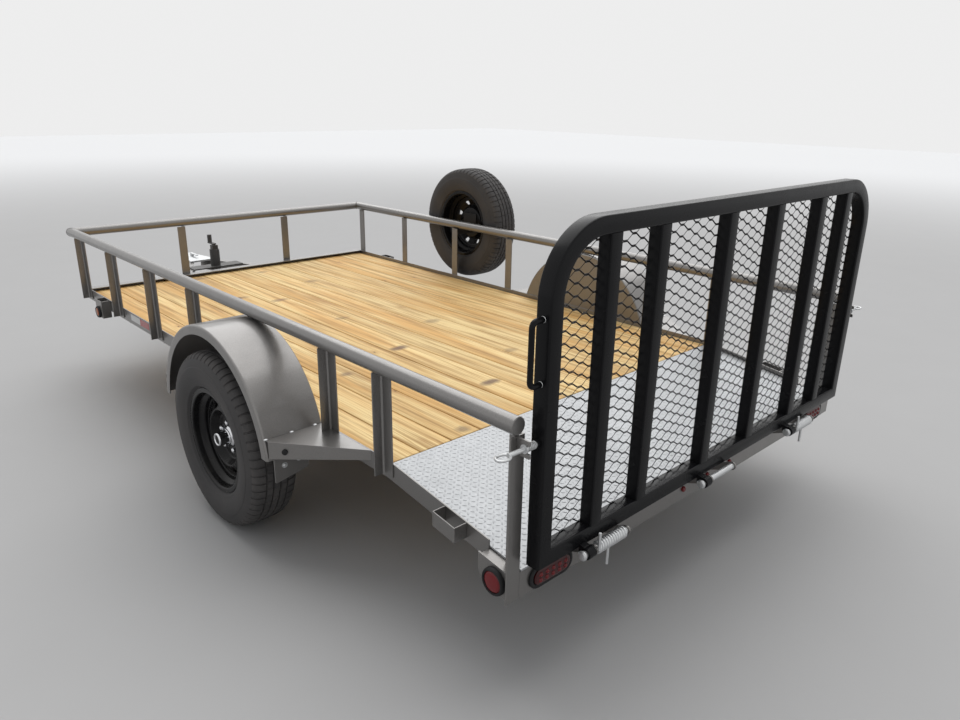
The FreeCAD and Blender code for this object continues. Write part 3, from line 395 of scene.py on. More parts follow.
def copies(tree, points, shape, rotation=(0.0, 0.0, 0.0)):
    return add(tree, "GeometryNodeInstanceOnPoints", {
        "Points": points, "Instance": shape, "Rotation": rotation})


def grown(name, tree, finish, values, base=None):
    """Run a tree on a mesh, or on nothing, and keep the result as a plain mesh."""
    holder = bpy.data.objects.new(name, base or bpy.data.meshes.new(name))
    bpy.context.scene.collection.objects.link(holder)
    modifier = holder.modifiers.new(name, "NODES")
    modifier.node_group = tree
    named = {item.name: item.identifier for item in tree.interface.items_tree if item.in_out == "INPUT"}
    for label, value in {**values, "Finish": finish_of(finish)}.items():
        modifier[named[label]] = value
    mesh = settled(holder)
    bpy.data.objects.remove(holder)
    mesh.name = name
    return mesh


def settled(holder):
    """The mesh of an object after its modifiers."""
    graph = bpy.context.evaluated_depsgraph_get()
    return bpy.data.meshes.new_from_object(holder.evaluated_get(graph), depsgraph=graph)


def points_mesh(points, edges=()):
    mesh = bpy.data.meshes.new("points")
    mesh.from_pydata([tuple(p) for p in points], edges, [])
    return mesh


@cache
def mesh_tree():
    """Raised expanded metal: wavy strands in rows, each a half step along from the next."""
    tree, given = geometry_tree(
        "expanded_mesh", Int=("Columns", "Rows"), Float=(
            "Long Way", "Short Way", "Strand", "Thickness", "Tilt", "Half Width", "Top", "Bottom", "Corner"))
    index = add(tree, "GeometryNodeInputIndex")
    step = calc(tree, "DIVIDE", given["Long Way"], 8.0)
    half_long = calc(tree, "DIVIDE", given["Long Way"], 2.0)
    half_short = calc(tree, "DIVIDE", given["Short Way"], 2.0)
    # A wave takes eight points, and is cut flat at its crests where the rows' knuckles meet.
    wave = calc(tree, "MULTIPLY", calc(tree, "COSINE", calc(tree, "MULTIPLY", index, math.pi / 4)), 1.45)
    wave = calc(tree, "MINIMUM", calc(tree, "MAXIMUM", wave, -1.0), 1.0)
    rise = calc(tree, "DIVIDE", calc(tree, "MULTIPLY_ADD", given["Strand"], -0.9, half_short), -2.0)
    count = calc(tree, "MULTIPLY_ADD", given["Columns"], 8.0, 1.0)
    line = add(tree, "GeometryNodeMeshLine", {"Count": count})
    start = calc(tree, "MULTIPLY", given["Long Way"], calc(tree, "DIVIDE", given["Columns"], -2.0))
    along = calc(tree, "MULTIPLY_ADD", index, step, start)
    bent = add(tree, "GeometryNodeSetPosition", {
        "Geometry": line, "Position": xyz(tree, along, 0.0, calc(tree, "MULTIPLY", wave, rise))})
    curve = add(tree, "GeometryNodeMeshToCurve", {0: bent})
    upright = add(tree, "GeometryNodeSetCurveNormal", {0: curve}, mode="Z_UP")
    tilted = add(tree, "GeometryNodeSetCurveTilt", {0: upright, "Tilt": given["Tilt"]})
    section = add(tree, "GeometryNodeCurvePrimitiveQuadrilateral", {
        "Width": given["Thickness"], "Height": given["Strand"]})
    strand = add(tree, "GeometryNodeCurveToMesh", {0: tilted, 1: section, "Fill Caps": True})
    shift = calc(tree, "MULTIPLY", calc(tree, "MODULO", index, 2.0), half_long)
    level = calc(tree, "MULTIPLY_ADD", index, half_short, given["Bottom"])
    rows = add(tree, "GeometryNodeSetPosition", {
        "Geometry": add(tree, "GeometryNodeMeshLine", {"Count": given["Rows"]}),
        "Position": xyz(tree, shift, 0.0, level)})
    sheet = add(tree, "GeometryNodeRealizeInstances", {"Geometry": copies(tree, rows, strand)})
    # What lies past the frame's centre line, with its bent corners, is taken off.
    place = split(tree, add(tree, "GeometryNodeInputPosition"))
    straight = calc(tree, "SUBTRACT", given["Half Width"], given["Corner"])
    knee = calc(tree, "SUBTRACT", given["Top"], given["Corner"])
    over_x = calc(tree, "MAXIMUM", calc(tree, "SUBTRACT", calc(tree, "ABSOLUTE", place[0]), straight), 0.0)
    over_z = calc(tree, "MAXIMUM", calc(tree, "SUBTRACT", place[2], knee), 0.0)
    away = length_of(tree, xyz(tree, over_x, 0.0, over_z))
    outside = add(tree, "FunctionNodeCompare", {"A": away, "B": given["Corner"]}, operation="GREATER_THAN")
    beneath = add(tree, "FunctionNodeCompare", {"A": place[2], "B": given["Bottom"]}, operation="LESS_THAN")
    either = add(tree, "FunctionNodeBooleanMath", {0: outside, 1: beneath}, operation="OR")
    kept = add(tree, "GeometryNodeDeleteGeometry", {0: sheet, "Selection": either}, domain="FACE")
    return close_tree(tree, given, kept)


@cache
def lug_tree():
    """Tread plate lugs on a square grid, each turned across its neighbours."""
    tree, given = geometry_tree("tread_lugs", Int=("Count X", "Count Y"), Float=(
        "Pitch", "Size X", "Size Y", "Length", "Width", "Height"))
    grid = add(tree, "GeometryNodeMeshGrid", {
        "Size X": given["Size X"], "Size Y": given["Size Y"],
        "Vertices X": given["Count X"], "Vertices Y": given["Count Y"],
    })
    oval = add(tree, "GeometryNodeMeshCircle", {"Vertices": 10, "Radius": 0.5}, fill_type="NGON")
    raised = new_node(tree, "GeometryNodeExtrudeMesh", {"Mesh": oval, "Offset Scale": 1.0})
    domed = add(tree, "GeometryNodeScaleElements", {
        "Geometry": raised.outputs[0], "Selection": raised.outputs["Top"], "Scale": 0.55})
    lug = add(tree, "GeometryNodeTransform", {
        "Geometry": domed, "Scale": xyz(tree, given["Length"], given["Width"], given["Height"])})
    place = split(tree, add(tree, "GeometryNodeInputPosition"))
    cells = []
    for part, size in ((place[0], given["Size X"]), (place[1], given["Size Y"])):
        from_edge = calc(tree, "MULTIPLY_ADD", size, 0.5, part)
        cells.append(calc(tree, "ROUND", calc(tree, "DIVIDE", from_edge, given["Pitch"])))
    odd = calc(tree, "MODULO", calc(tree, "ADD", *cells), 2.0)
    turn = calc(tree, "MULTIPLY_ADD", odd, math.pi / 2, math.pi / 4)
    return close_tree(tree, given, copies(tree, grid, lug, xyz(tree, 0.0, 0.0, turn)))


@cache
def coil_tree():
    """A coil spring along X, centred on the origin."""
    tree, given = geometry_tree("coil_spring", Float=("Turns", "Radius", "Length", "Wire"))
    spiral = add(tree, "GeometryNodeCurveSpiral", {
        "Resolution": 28, "Rotations": given["Turns"], "Start Radius": given["Radius"],
        "End Radius": given["Radius"], "Height": given["Length"],
    })
    wire = add(tree, "GeometryNodeCurvePrimitiveCircle", {"Resolution": 10, "Radius": given["Wire"]})
    coil = add(tree, "GeometryNodeCurveToMesh", {0: spiral, 1: wire, "Fill Caps": True})
    turned = add(tree, "GeometryNodeTransform", {
        "Geometry": coil, "Translation": xyz(tree, calc(tree, "DIVIDE", given["Length"], -2.0)),
        "Rotation": (0.0, math.pi / 2, 0.0)})
    return close_tree(tree, given, turned)


@cache
def nut_tree():
    """A hexagon nut or bolt head with a washer on each point of a mesh, its axis turned by Turn."""
    tree, given = geometry_tree("nuts", Float=("Radius", "Height", "Washer", "Dome"), Vector=("Turn",))
    head = add(tree, "GeometryNodeMeshCylinder", {
        "Vertices": 6, "Radius": given["Radius"], "Depth": given["Height"]})
    lift = calc(tree, "DIVIDE", given["Height"], 2.0)
    head_up = add(tree, "GeometryNodeTransform", {
        "Geometry": head, "Translation": xyz(tree, 0.0, 0.0, lift)})
    tip = add(tree, "GeometryNodeMeshUVSphere", {
        "Segments": 12, "Rings": 6, "Radius": calc(tree, "MULTIPLY", given["Radius"], 0.82)})
    tip_up = add(tree, "GeometryNodeTransform", {
        "Geometry": tip, "Translation": xyz(tree, 0.0, 0.0, given["Height"]),
        "Scale": xyz(tree, 1.0, 1.0, given["Dome"]),
    })
    washer = add(tree, "GeometryNodeMeshCylinder", {
        "Vertices": 20, "Radius": given["Washer"], "Depth": 0.003})
    both = new_node(tree, "GeometryNodeJoinGeometry")
    for shape in (head_up, tip_up, washer):
        tree.links.new(shape, both.inputs[0])
    return close_tree(tree, given, copies(tree, given["Geometry"], both.outputs[0], given["Turn"]))


@cache
def weld_tree():
    """A rippled weld bead along every chain of edges of a mesh."""
    tree, given = geometry_tree("weld_beads", Float=("Width", "Pitch"))
    curve = add(tree, "GeometryNodeMeshToCurve", {0: given["Geometry"]})
    spaced = add(tree, "GeometryNodeResampleCurve", {0: curve, "Length": given["Pitch"]}, mode="LENGTH")
    drop = add(tree, "GeometryNodeMeshUVSphere", {"Segments": 8, "Rings": 5, "Radius": given["Width"]})
    thin = add(tree, "GeometryNodeTransform", {"Geometry": drop, "Scale": (0.55, 1.0, 1.0)})
    tangent = add(tree, "GeometryNodeInputTangent")
    faced = add(tree, "FunctionNodeAlignRotationToVector", {"Vector": tangent}, axis="X")
    return close_tree(tree, given, copies(tree, spaced, thin, faced))


# Materials


def shader_group(name, outputs, **inputs):
    """A shader node group whose inputs, each with its first value, are named by kind."""
    tree = bpy.data.node_groups.new(name, "ShaderNodeTree")
    for kind, labels in inputs.items():
        for label, value in labels.items():
            socket = tree.interface.new_socket(name=label, in_out="INPUT", socket_type="NodeSocket" + kind)
            socket.default_value = value
    for label, kind in outputs.items():
        tree.interface.new_socket(name=label, in_out="OUTPUT", socket_type="NodeSocket" + kind)
    return tree, tree.nodes.new("NodeGroupInput").outputs


def group_node(tree, group, inputs):
    return new_node(tree, "ShaderNodeGroup", inputs, node_tree=group).outputs


def noise(tree, vector, scale, detail=3.0, rough=0.5):
    return add(tree, "ShaderNodeTexNoise", {
        "Vector": vector, "Scale": scale, "Detail": detail, "Roughness": rough})


def cells_of(tree, vector, scale, randomness=1.0):
    return new_node(tree, "ShaderNodeTexVoronoi", {
        "Vector": vector, "Scale": scale, "Randomness": randomness}).outputs


def spread(tree, value, from_low, from_high, to_low=0.0, to_high=1.0, **settings):
    """Map a value from one range to another, without going past its ends."""
    return add(tree, "ShaderNodeMapRange", {
        "Value": value, "From Min": from_low, "From Max": from_high, "To Min": to_low, "To Max": to_high,
    }, **settings)


def sway(tree, value, amount, base):
    """The base, moved up or down by the amount as the value leaves one half."""
    return calc(tree, "MULTIPLY_ADD", calc(tree, "SUBTRACT", value, 0.5), amount, base)


def opaque(colour):
    """A colour with full alpha, or the socket that gives the colour."""
    return colour if isinstance(colour, bpy.types.NodeSocket) else (*colour, 1.0)


def blend(tree, factor, a, b):
    made = new_node(tree, "ShaderNodeMix", {0: factor, 6: opaque(a), 7: opaque(b)}, data_type="RGBA")
    return made.outputs[2]


def scaled(tree, colour, factor):
    return add(tree, "ShaderNodeVectorMath", {0: colour, "Scale": factor}, operation="SCALE")


def stretched(tree, vector, *scale):
    return add(tree, "ShaderNodeMapping", {"Vector": vector, "Scale": scale})


def bump(tree, height, strength, distance):
    return add(tree, "ShaderNodeBump", {"Height": height, "Strength": strength, "Distance": distance})


def object_place(tree):
    return new_node(tree, "ShaderNodeTexCoord").outputs["Object"]


def uv_place(tree, layer):
    return add(tree, "ShaderNodeUVMap", uv_map=layer)


def attribute(tree, name):
    return new_node(tree, "ShaderNodeAttribute", attribute_name=name).outputs["Fac"]


@cache
def coat_group():
    """Sprayed paint or plating: slow patches of tone, fine speckle and an orange-peel skin."""
    tree, given = shader_group(
        "sprayed_coat", {"Colour": "Color", "Roughness": "Float", "Height": "Float"},
        Color={"Colour": (0.5, 0.5, 0.5, 1.0)},
        Float={"Patches": 0.1, "Speckle": 0.1, "Speckle Scale": 900.0, "Roughness": 0.4})
    place = object_place(tree)
    tone = sway(tree, noise(tree, place, 3.5, 4.0), given["Patches"], 1.0)
    tone = sway(tree, noise(tree, place, given["Speckle Scale"], 2.0), given["Speckle"], tone)
    new_node(tree, "NodeGroupOutput", {
        "Colour": scaled(tree, given["Colour"], tone),
        "Roughness": sway(tree, noise(tree, place, 18.0, 5.0), 0.22, given["Roughness"]),
        "Height": noise(tree, place, 260.0, 2.0),
    })
    return tree


@cache
def dust_group():
    """Road dust that is thickest low down, over a colour."""
    tree, given = shader_group(
        "road_dust", {"Colour": "Color", "Mask": "Float"},
        Color={"Colour": (0.1, 0.1, 0.1, 1.0), "Dust": (0.3, 0.26, 0.22, 1.0)},
        Float={"Amount": 0.3, "Top": 0.6})
    place = object_place(tree)
    fall = spread(tree, split(tree, place)[2], given["Top"], 0.0)
    patches = spread(tree, noise(tree, place, 9.0, 6.0, 0.65), 0.35, 0.75)
    mask = calc(tree, "MULTIPLY", calc(tree, "MULTIPLY", fall, patches), given["Amount"])
    new_node(tree, "NodeGroupOutput", {
        "Colour": blend(tree, mask, given["Colour"], given["Dust"]), "Mask": mask})
    return tree


def new_material(name, links, constants):
    """A material whose Principled shader takes the linked values and the constants."""
    made = bpy.data.materials.new(name)
    made.use_nodes = True
    shader = made.node_tree.nodes["Principled BSDF"]
    for key, value in constants.items():
        shader.inputs[key].default_value = value
    for key, socket in links(made.node_tree).items():
        made.node_tree.links.new(socket, shader.inputs[key])
    return made


def panel_colour(colour):
    """A colour of the panel by its name, or the colour that was given."""
    return tuple(getattr(bpy.context.scene.trailer_colours, colour)) if isinstance(colour, str) else colour


def coated(name, colour, constants, patches, speckle, rough, peel=0.15, dust=0.0, top=0.7, spots=900.0):
    """A painted, plated or moulded finish."""
    def links(tree):
        coat = group_node(tree, coat_group(), {
            "Colour": opaque(panel_colour(colour)), "Patches": patches, "Speckle": speckle,
            "Speckle Scale": spots, "Roughness": rough})
        out = {"Base Color": coat["Colour"], "Roughness": coat["Roughness"],
               "Normal": bump(tree, coat["Height"], peel, 0.0006)}
        if dust:
            film = group_node(tree, dust_group(), {"Colour": coat["Colour"], "Amount": dust, "Top": top})
            out["Base Color"] = film["Colour"]
            out["Roughness"] = calc(tree, "MULTIPLY_ADD", film["Mask"], 0.5, coat["Roughness"])
        return out
    return new_material(name, links, constants)


def tread_steel(name):
    """Bright tread plate with a faint spangle."""
    def links(tree):
        coat = group_node(tree, coat_group(), {
            "Colour": opaque(panel_colour("tread_plate")), "Patches": 0.16, "Speckle": 0.12,
            "Roughness": 0.46})
        spangle = cells_of(tree, object_place(tree), 130.0)["Color"]
        return {"Base Color": scaled(tree, coat["Colour"], spread(tree, spangle, 0.0, 1.0, 0.88, 1.06)),
                "Roughness": coat["Roughness"], "Normal": bump(tree, coat["Height"], 0.2, 0.0005)}
    return new_material(name, links, {"Metallic": 0.35})


def tyre_rubber(name):
    """Rubber with a thin haze, and dust where the tread attribute is set."""
    def links(tree):
        place = object_place(tree)
        patches = spread(tree, noise(tree, place, 14.0, 6.0, 0.7), 0.3, 0.7, 0.15, 0.6)
        haze = spread(tree, noise(tree, place, 5.0, 4.0), 0.3, 0.7, 0.08, 0.36)
        dusty = calc(tree, "MAXIMUM", calc(tree, "MULTIPLY", attribute(tree, "tread"), patches), haze)
        fine = noise(tree, place, 420.0)
        darker, lighter = ([c * shade for c in panel_colour("rubber")] for shade in (0.8, 1.3))
        base = blend(tree, spread(tree, fine, 0.3, 0.7), darker, lighter)
        return {"Base Color": blend(tree, dusty, base, panel_colour("dust")),
                "Roughness": spread(tree, dusty, 0.0, 1.0, 0.58, 0.95),
                "Normal": bump(tree, fine, 0.25, 0.0006)}
    return new_material(name, links, {"Specular IOR Level": 0.3})


# Smudges on the deck: x, distance ahead of the rear end, reach across and along, strength.
STAINS = (
    (-0.381, 2.84, (0.09, 0.035), 0.9),
    (-0.345, 3.449, (0.1, 0.035), 0.6),
    (-0.211, 1.51, (0.066, 0.032), 0.85),
    (-0.195, 0.91, (0.066, 0.03), 0.85),
    (-0.199, 2.649, (0.066, 0.035), 0.6),
    (-0.59, 1.374, (0.04, 0.03), 0.6),
    (-0.591, 0.637, (0.035, 0.03), 0.6),
    (0.195, 1.757, (0.06, 0.04), 0.45),
    (0.189, 2.944, (0.06, 0.04), 0.4),
    (0.07, 3.376, (0.05, 0.03), 0.45),
    (-0.134, 2.108, (0.05, 0.03), 0.4),
    (0.166, 1.15, (0.05, 0.03), 0.4),
)


def plank_wood(name):
    """Pine: grain lines that wander along each plank, streaks, knots, fibres and a few smudges."""
    warm_wood, streak, halo_wood = (0.78, 0.44, 0.14), (0.45, 0.24, 0.075), (0.5, 0.26, 0.09)
    knot_wood, smudge = (0.17, 0.08, 0.035), (0.17, 0.1, 0.07)

    def links(tree):
        uv = uv_place(tree, "grain")
        place = object_place(tree)
        slow = stretched(tree, uv, 0.9, 9.0, 1.0)
        across = calc(tree, "MULTIPLY_ADD", noise(tree, slow, 1.1), 0.075, split(tree, uv)[1])
        rings = calc(tree, "SINE", calc(tree, "MULTIPLY", across, 520.0))
        ring_depth = spread(tree, noise(tree, slow, 2.3, 2.0), 0.35, 0.7, 0.15, 0.75)
        lines = calc(tree, "MULTIPLY", spread(tree, rings, 0.2, 1.0), ring_depth)
        fibres = noise(tree, stretched(tree, uv, 7.0, 520.0, 1.0), 1.0, 4.0, 0.6)
        streaks = noise(tree, stretched(tree, uv, 1.6, 42.0, 1.0), 1.0, 4.0, 0.55)
        from_knot = cells_of(tree, stretched(tree, uv, 1.0, 1.9, 1.0), 3.3)["Distance"]
        knot = spread(tree, calc(tree, "MULTIPLY_ADD", streaks, 0.02, from_knot), 0.045, 0.025)
        warm = spread(tree, noise(tree, slow, 0.7, 4.0, 0.6), 0.42, 0.62, 0.0, 0.85)
        colour = panel_colour("wood")
        for mask, wood in (
            (lines, panel_colour("grain")),
            (warm, warm_wood),
            (spread(tree, streaks, 0.45, 0.68, 0.0, 0.85), streak),
            (spread(tree, from_knot, 0.14, 0.03, 0.0, 0.5), halo_wood),
            (knot, knot_wood),
        ):
            colour = blend(tree, mask, colour, wood)
        for x, y, reach, strength in STAINS:
            spot = add(tree, "ShaderNodeVectorMath", {0: place, 1: (x, REAR + y, high("deck_planks").z)},
                       operation="SUBTRACT")
            flat = add(tree, "ShaderNodeVectorMath", {0: spot, 1: (1.0 / reach[0], 1.0 / reach[1], 0.0)},
                       operation="MULTIPLY")
            rough = noise(tree, place, 28.0, 5.0, 0.65)
            ragged = calc(tree, "MULTIPLY_ADD", rough, 1.1, length_of(tree, flat))
            ragged = calc(tree, "MULTIPLY_ADD", streaks, 0.5, ragged)
            colour = blend(tree, spread(tree, ragged, 1.85, 1.15, 0.0, strength), colour, smudge)
        shade = calc(tree, "MULTIPLY_ADD", fibres, 0.5, 0.76)
        shade = calc(tree, "MULTIPLY", shade, attribute(tree, "tone"))
        return {"Base Color": scaled(tree, colour, shade),
                "Roughness": spread(tree, fibres, 0.2, 0.8, 0.55, 0.8),
                "Normal": bump(tree, calc(tree, "MULTIPLY_ADD", lines, -0.5, fibres), 0.35, 0.001)}
    return new_material(name, links, {"Specular IOR Level": 0.35})


def lens(name, colour, shade=1.0):
    """Moulded plastic with a grid of small prisms."""
    def links(tree):
        place = object_place(tree)
        prisms = cells_of(tree, place, 260.0, 0.0)["Distance"]
        tinted = tuple(c * shade for c in panel_colour(colour))
        return {"Base Color": scaled(tree, tinted, spread(tree, prisms, 0.0, 0.6, 1.25, 0.7)),
                "Roughness": spread(tree, noise(tree, place, 30.0), 0.0, 1.0, 0.1, 0.24),
                "Normal": bump(tree, prisms, 0.25, 0.0008)}
    return new_material(name, links, {
        "Coat Weight": 0.25, "Coat Roughness": 0.05, "Specular IOR Level": 0.25})


def reflector_tape(name):
    """Reflective tape, red and then white along its length, with a fine cell pattern."""
    red, white = (0.42, 0.02, 0.02), (0.68, 0.68, 0.66)

    def links(tree):
        uv = uv_place(tree, "tape")
        cell = cells_of(tree, uv, 230.0, 0.0)["Distance"]
        colour = blend(tree, spread(tree, split(tree, uv)[0], 0.119, 0.121), red, white)
        return {"Base Color": scaled(tree, colour, spread(tree, cell, 0.1, 0.6, 1.1, 0.75)),
                "Roughness": spread(tree, cell, 0.0, 0.6, 0.15, 0.4)}
    return new_material(name, links, {"Coat Weight": 0.6, "Coat Roughness": 0.08})


# Each finish has the record's slot, its maker and the maker's values.
FINISHES = {
    "frame_paint": ("frame_paint", coated, {
        "colour": "frame", "patches": 0.16, "speckle": 0.55, "rough": 0.38, "peel": 0.12, "dust": 0.12,
        "top": 0.8, "spots": 380.0, "constants": {
            "Metallic": 0.75, "Coat Weight": 0.5, "Coat Roughness": 0.12, "Specular IOR Level": 0.3}}),
    "gate_black": ("gate_black", coated, {
        "colour": "gate", "patches": 0.3, "speckle": 0.2, "rough": 0.25, "peel": 0.16,
        "constants": {"Specular IOR Level": 0.13}}),
    "axle_black": ("gate_black", coated, {
        "colour": (0.022, 0.022, 0.023), "patches": 0.4, "speckle": 0.2, "rough": 0.6, "dust": 0.4,
        "top": 0.9, "constants": {"Specular IOR Level": 0.3}}),
    "rim_black": ("rim_black", coated, {
        "colour": (0.009, 0.009, 0.01), "patches": 0.2, "speckle": 0.1, "rough": 0.26, "peel": 0.08,
        "dust": 0.06, "top": 0.8, "constants": {"Specular IOR Level": 0.2}}),
    "jack_grey": ("jack_paint", coated, {
        "colour": (0.075, 0.072, 0.07), "patches": 0.15, "speckle": 0.2, "rough": 0.45, "dust": 0.2,
        "constants": {"Specular IOR Level": 0.3}}),
    "zinc": ("zinc", coated, {
        "colour": (0.62, 0.63, 0.635), "patches": 0.3, "speckle": 0.25, "rough": 0.4, "peel": 0.1,
        "constants": {"Metallic": 0.8}}),
    "chrome": ("hub_chrome", coated, {
        "colour": (0.72, 0.73, 0.75), "patches": 0.06, "speckle": 0.03, "rough": 0.14, "peel": 0.02,
        "constants": {"Metallic": 1.0}}),
    "grommet": ("grommet_rubber", coated, {
        "colour": (0.014, 0.014, 0.015), "patches": 0.2, "speckle": 0.2, "rough": 0.62, "peel": 0.2,
        "constants": {"Specular IOR Level": 0.3}}),
    "plank_wood": ("plank_wood", plank_wood, {}),
    "tread_steel": ("tread_plate", tread_steel, {}),
    "tyre_rubber": ("tyre_rubber", tyre_rubber, {}),
    "red_lens": ("red_lens", lens, {"colour": "red_lens"}),
    "smoked_lens": ("red_lens", lens, {"colour": "red_lens", "shade": 0.3}),
    "amber_lens": ("amber_lens", lens, {"colour": "amber_lens"}),
    "reflector_tape": ("red_lens", reflector_tape, {}),
}


@cache
def finish_of(name):
    """The material of a finish."""
    _, maker, values = FINISHES[name]
    return maker(name, **values)


# Operators


class TRAILER_OT_rails(bpy.types.Operator):
    """Make the rails, crossmembers, ribs, light box and uprights"""

    bl_idname = "trailer.rails"
    bl_label = "Rails"

    def execute(self, context):
        for node in ("left_side_rail", "right_side_rail", "front_rail", "crossmembers", "dovetail_ribs",
                     "rear_light_box", "left_uprights", "right_uprights", "front_uprights"):
            steel_copy(node, "frame_paint")
        # The rounded inner corner of each upright's angle steel.
        roots = bmesh.new()
        steel, root, foot_rise, clearance = 0.005, 0.005, 0.012, 0.001
        corner = [(0.0, 0.0), (root, 0.0), (root * 0.3, root * 0.3), (0.0, root)]
        top = low("left_top_rail").z - clearance
        for side in (LEFT, RIGHT):
            for heel in POST_HEELS:
                on_gusset = heel == GUSSET_POST
                foot = high("left_side_rail").z if on_gusset else low("front_rail").z + foot_rise
                at = Vector((side * (RAIL_HALF + steel), REAR + heel - steel, foot))
                skin(roots, [[at + Vector((side * a, -b, z)) for a, b in corner] for z in (0.0, top - foot)])
        put_shape("post_roots", roots, "frame_paint", crease=60.0)
        return {"FINISHED"}


class TRAILER_OT_top_rail(bpy.types.Operator):
    """Make the pipe that runs round the bed, mitred at its front corners and capped at its ends"""

    bl_idname = "trailer.top_rail"
    bl_label = "Top rail"

    def execute(self, context):
        ease = 0.002
        rings = []
        # Stations of the sweep: side, Y, outward direction, radius.
        for side, y, out, radius in (
            (LEFT, REAR, (-1, 0, 0), PIPE - ease),
            (LEFT, REAR + ease, (-1, 0, 0), PIPE),
            (LEFT, FRONT, (-1, 1, 0), PIPE),
            (RIGHT, FRONT, (1, 1, 0), PIPE),
            (RIGHT, REAR + ease, (1, 0, 0), PIPE),
            (RIGHT, REAR, (1, 0, 0), PIPE - ease),
        ):
            rings.append([Vector((-side * TOP_RAIL.x, y, TOP_RAIL.z)) + Vector(out) * a + Vector((0, 0, b))
                          for a, b in ring_of(radius, 48)])
        bm = bmesh.new()
        skin(bm, rings)
        put_shape("top_rail", bm, "frame_paint", crease=25.0,
                  stands_for=("left_top_rail", "right_top_rail", "front_top_rail"))
        return {"FINISHED"}


class TRAILER_OT_deck(bpy.types.Operator):
    """Make the deck's planks, each with its own grain and tone"""

    bl_idname = "trailer.deck"
    bl_label = "Deck"

    def execute(self, context):
        chance = random.Random(7)
        lowest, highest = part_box("deck_planks")
        count, gap = 14, 0.004
        pitch = (highest.x - lowest.x + gap) / count
        bm = bmesh.new()
        grain = bm.loops.layers.uv.new("grain")
        tone = bm.verts.layers.float.new("tone")
        for i in range(count):
            old = set(bm.verts)
            start = lowest.x + i * pitch
            sink = chance.uniform(0.0, 0.0012)
            block(bm, (start, lowest.y + chance.uniform(0.0, 0.003), lowest.z),
                  (start + pitch - gap, highest.y, highest.z - sink), 0.0035, 3)
            offset = (chance.uniform(0, 40), chance.uniform(0, 40))
            shade = chance.uniform(0.88, 1.07)
            for vert in set(bm.verts) - old:
                vert[tone] = shade
                for loop in vert.link_loops:
                    loop[grain].uv = (vert.co.y + vert.co.z + offset[0], vert.co.x + vert.co.z + offset[1])
        bmesh.ops.recalc_face_normals(bm, faces=bm.faces)
        put("planks", mesh_from("planks", bm, CREASE), "plank_wood", stands_for=("deck_planks",))
        return {"FINISHED"}


class TRAILER_OT_dovetail(bpy.types.Operator):
    """Make the sloped tread plate and its raised lugs"""

    bl_idname = "trailer.dovetail"
    bl_label = "Dovetail"

    def execute(self, context):
        steel_copy("dovetail_plate", "tread_steel", edge=0.0008)
        pitch = context.scene.trailer_sizes.lug_pitch
        lowest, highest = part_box("dovetail_plate")
        # The plate falls 86 mm over 594 mm, and a margin along its edges has no lugs.
        drop, margin = 0.086 / 0.594, 0.012
        run = highest.y - lowest.y
        count_x = int((highest.x - lowest.x - margin) / pitch)
        count_y = int((run * math.sqrt(1 + drop ** 2) - margin) / pitch)
        mesh = grown("lugs", lug_tree(), "tread_steel", {
            "Pitch": pitch, "Size X": count_x * pitch, "Size Y": count_y * pitch,
            "Count X": count_x + 1, "Count Y": count_y + 1,
            "Length": 0.0158, "Width": 0.0048, "Height": 0.0011,
        })
        sunk = 0.0001
        mesh.transform(axes((1, 0, 0), Vector((0, 1, drop)).normalized(),
                            (0, (lowest.y + highest.y) / 2, highest.z - run * drop / 2 - sunk)))
        put("tread_lugs", mesh, "tread_steel")
        return {"FINISHED"}


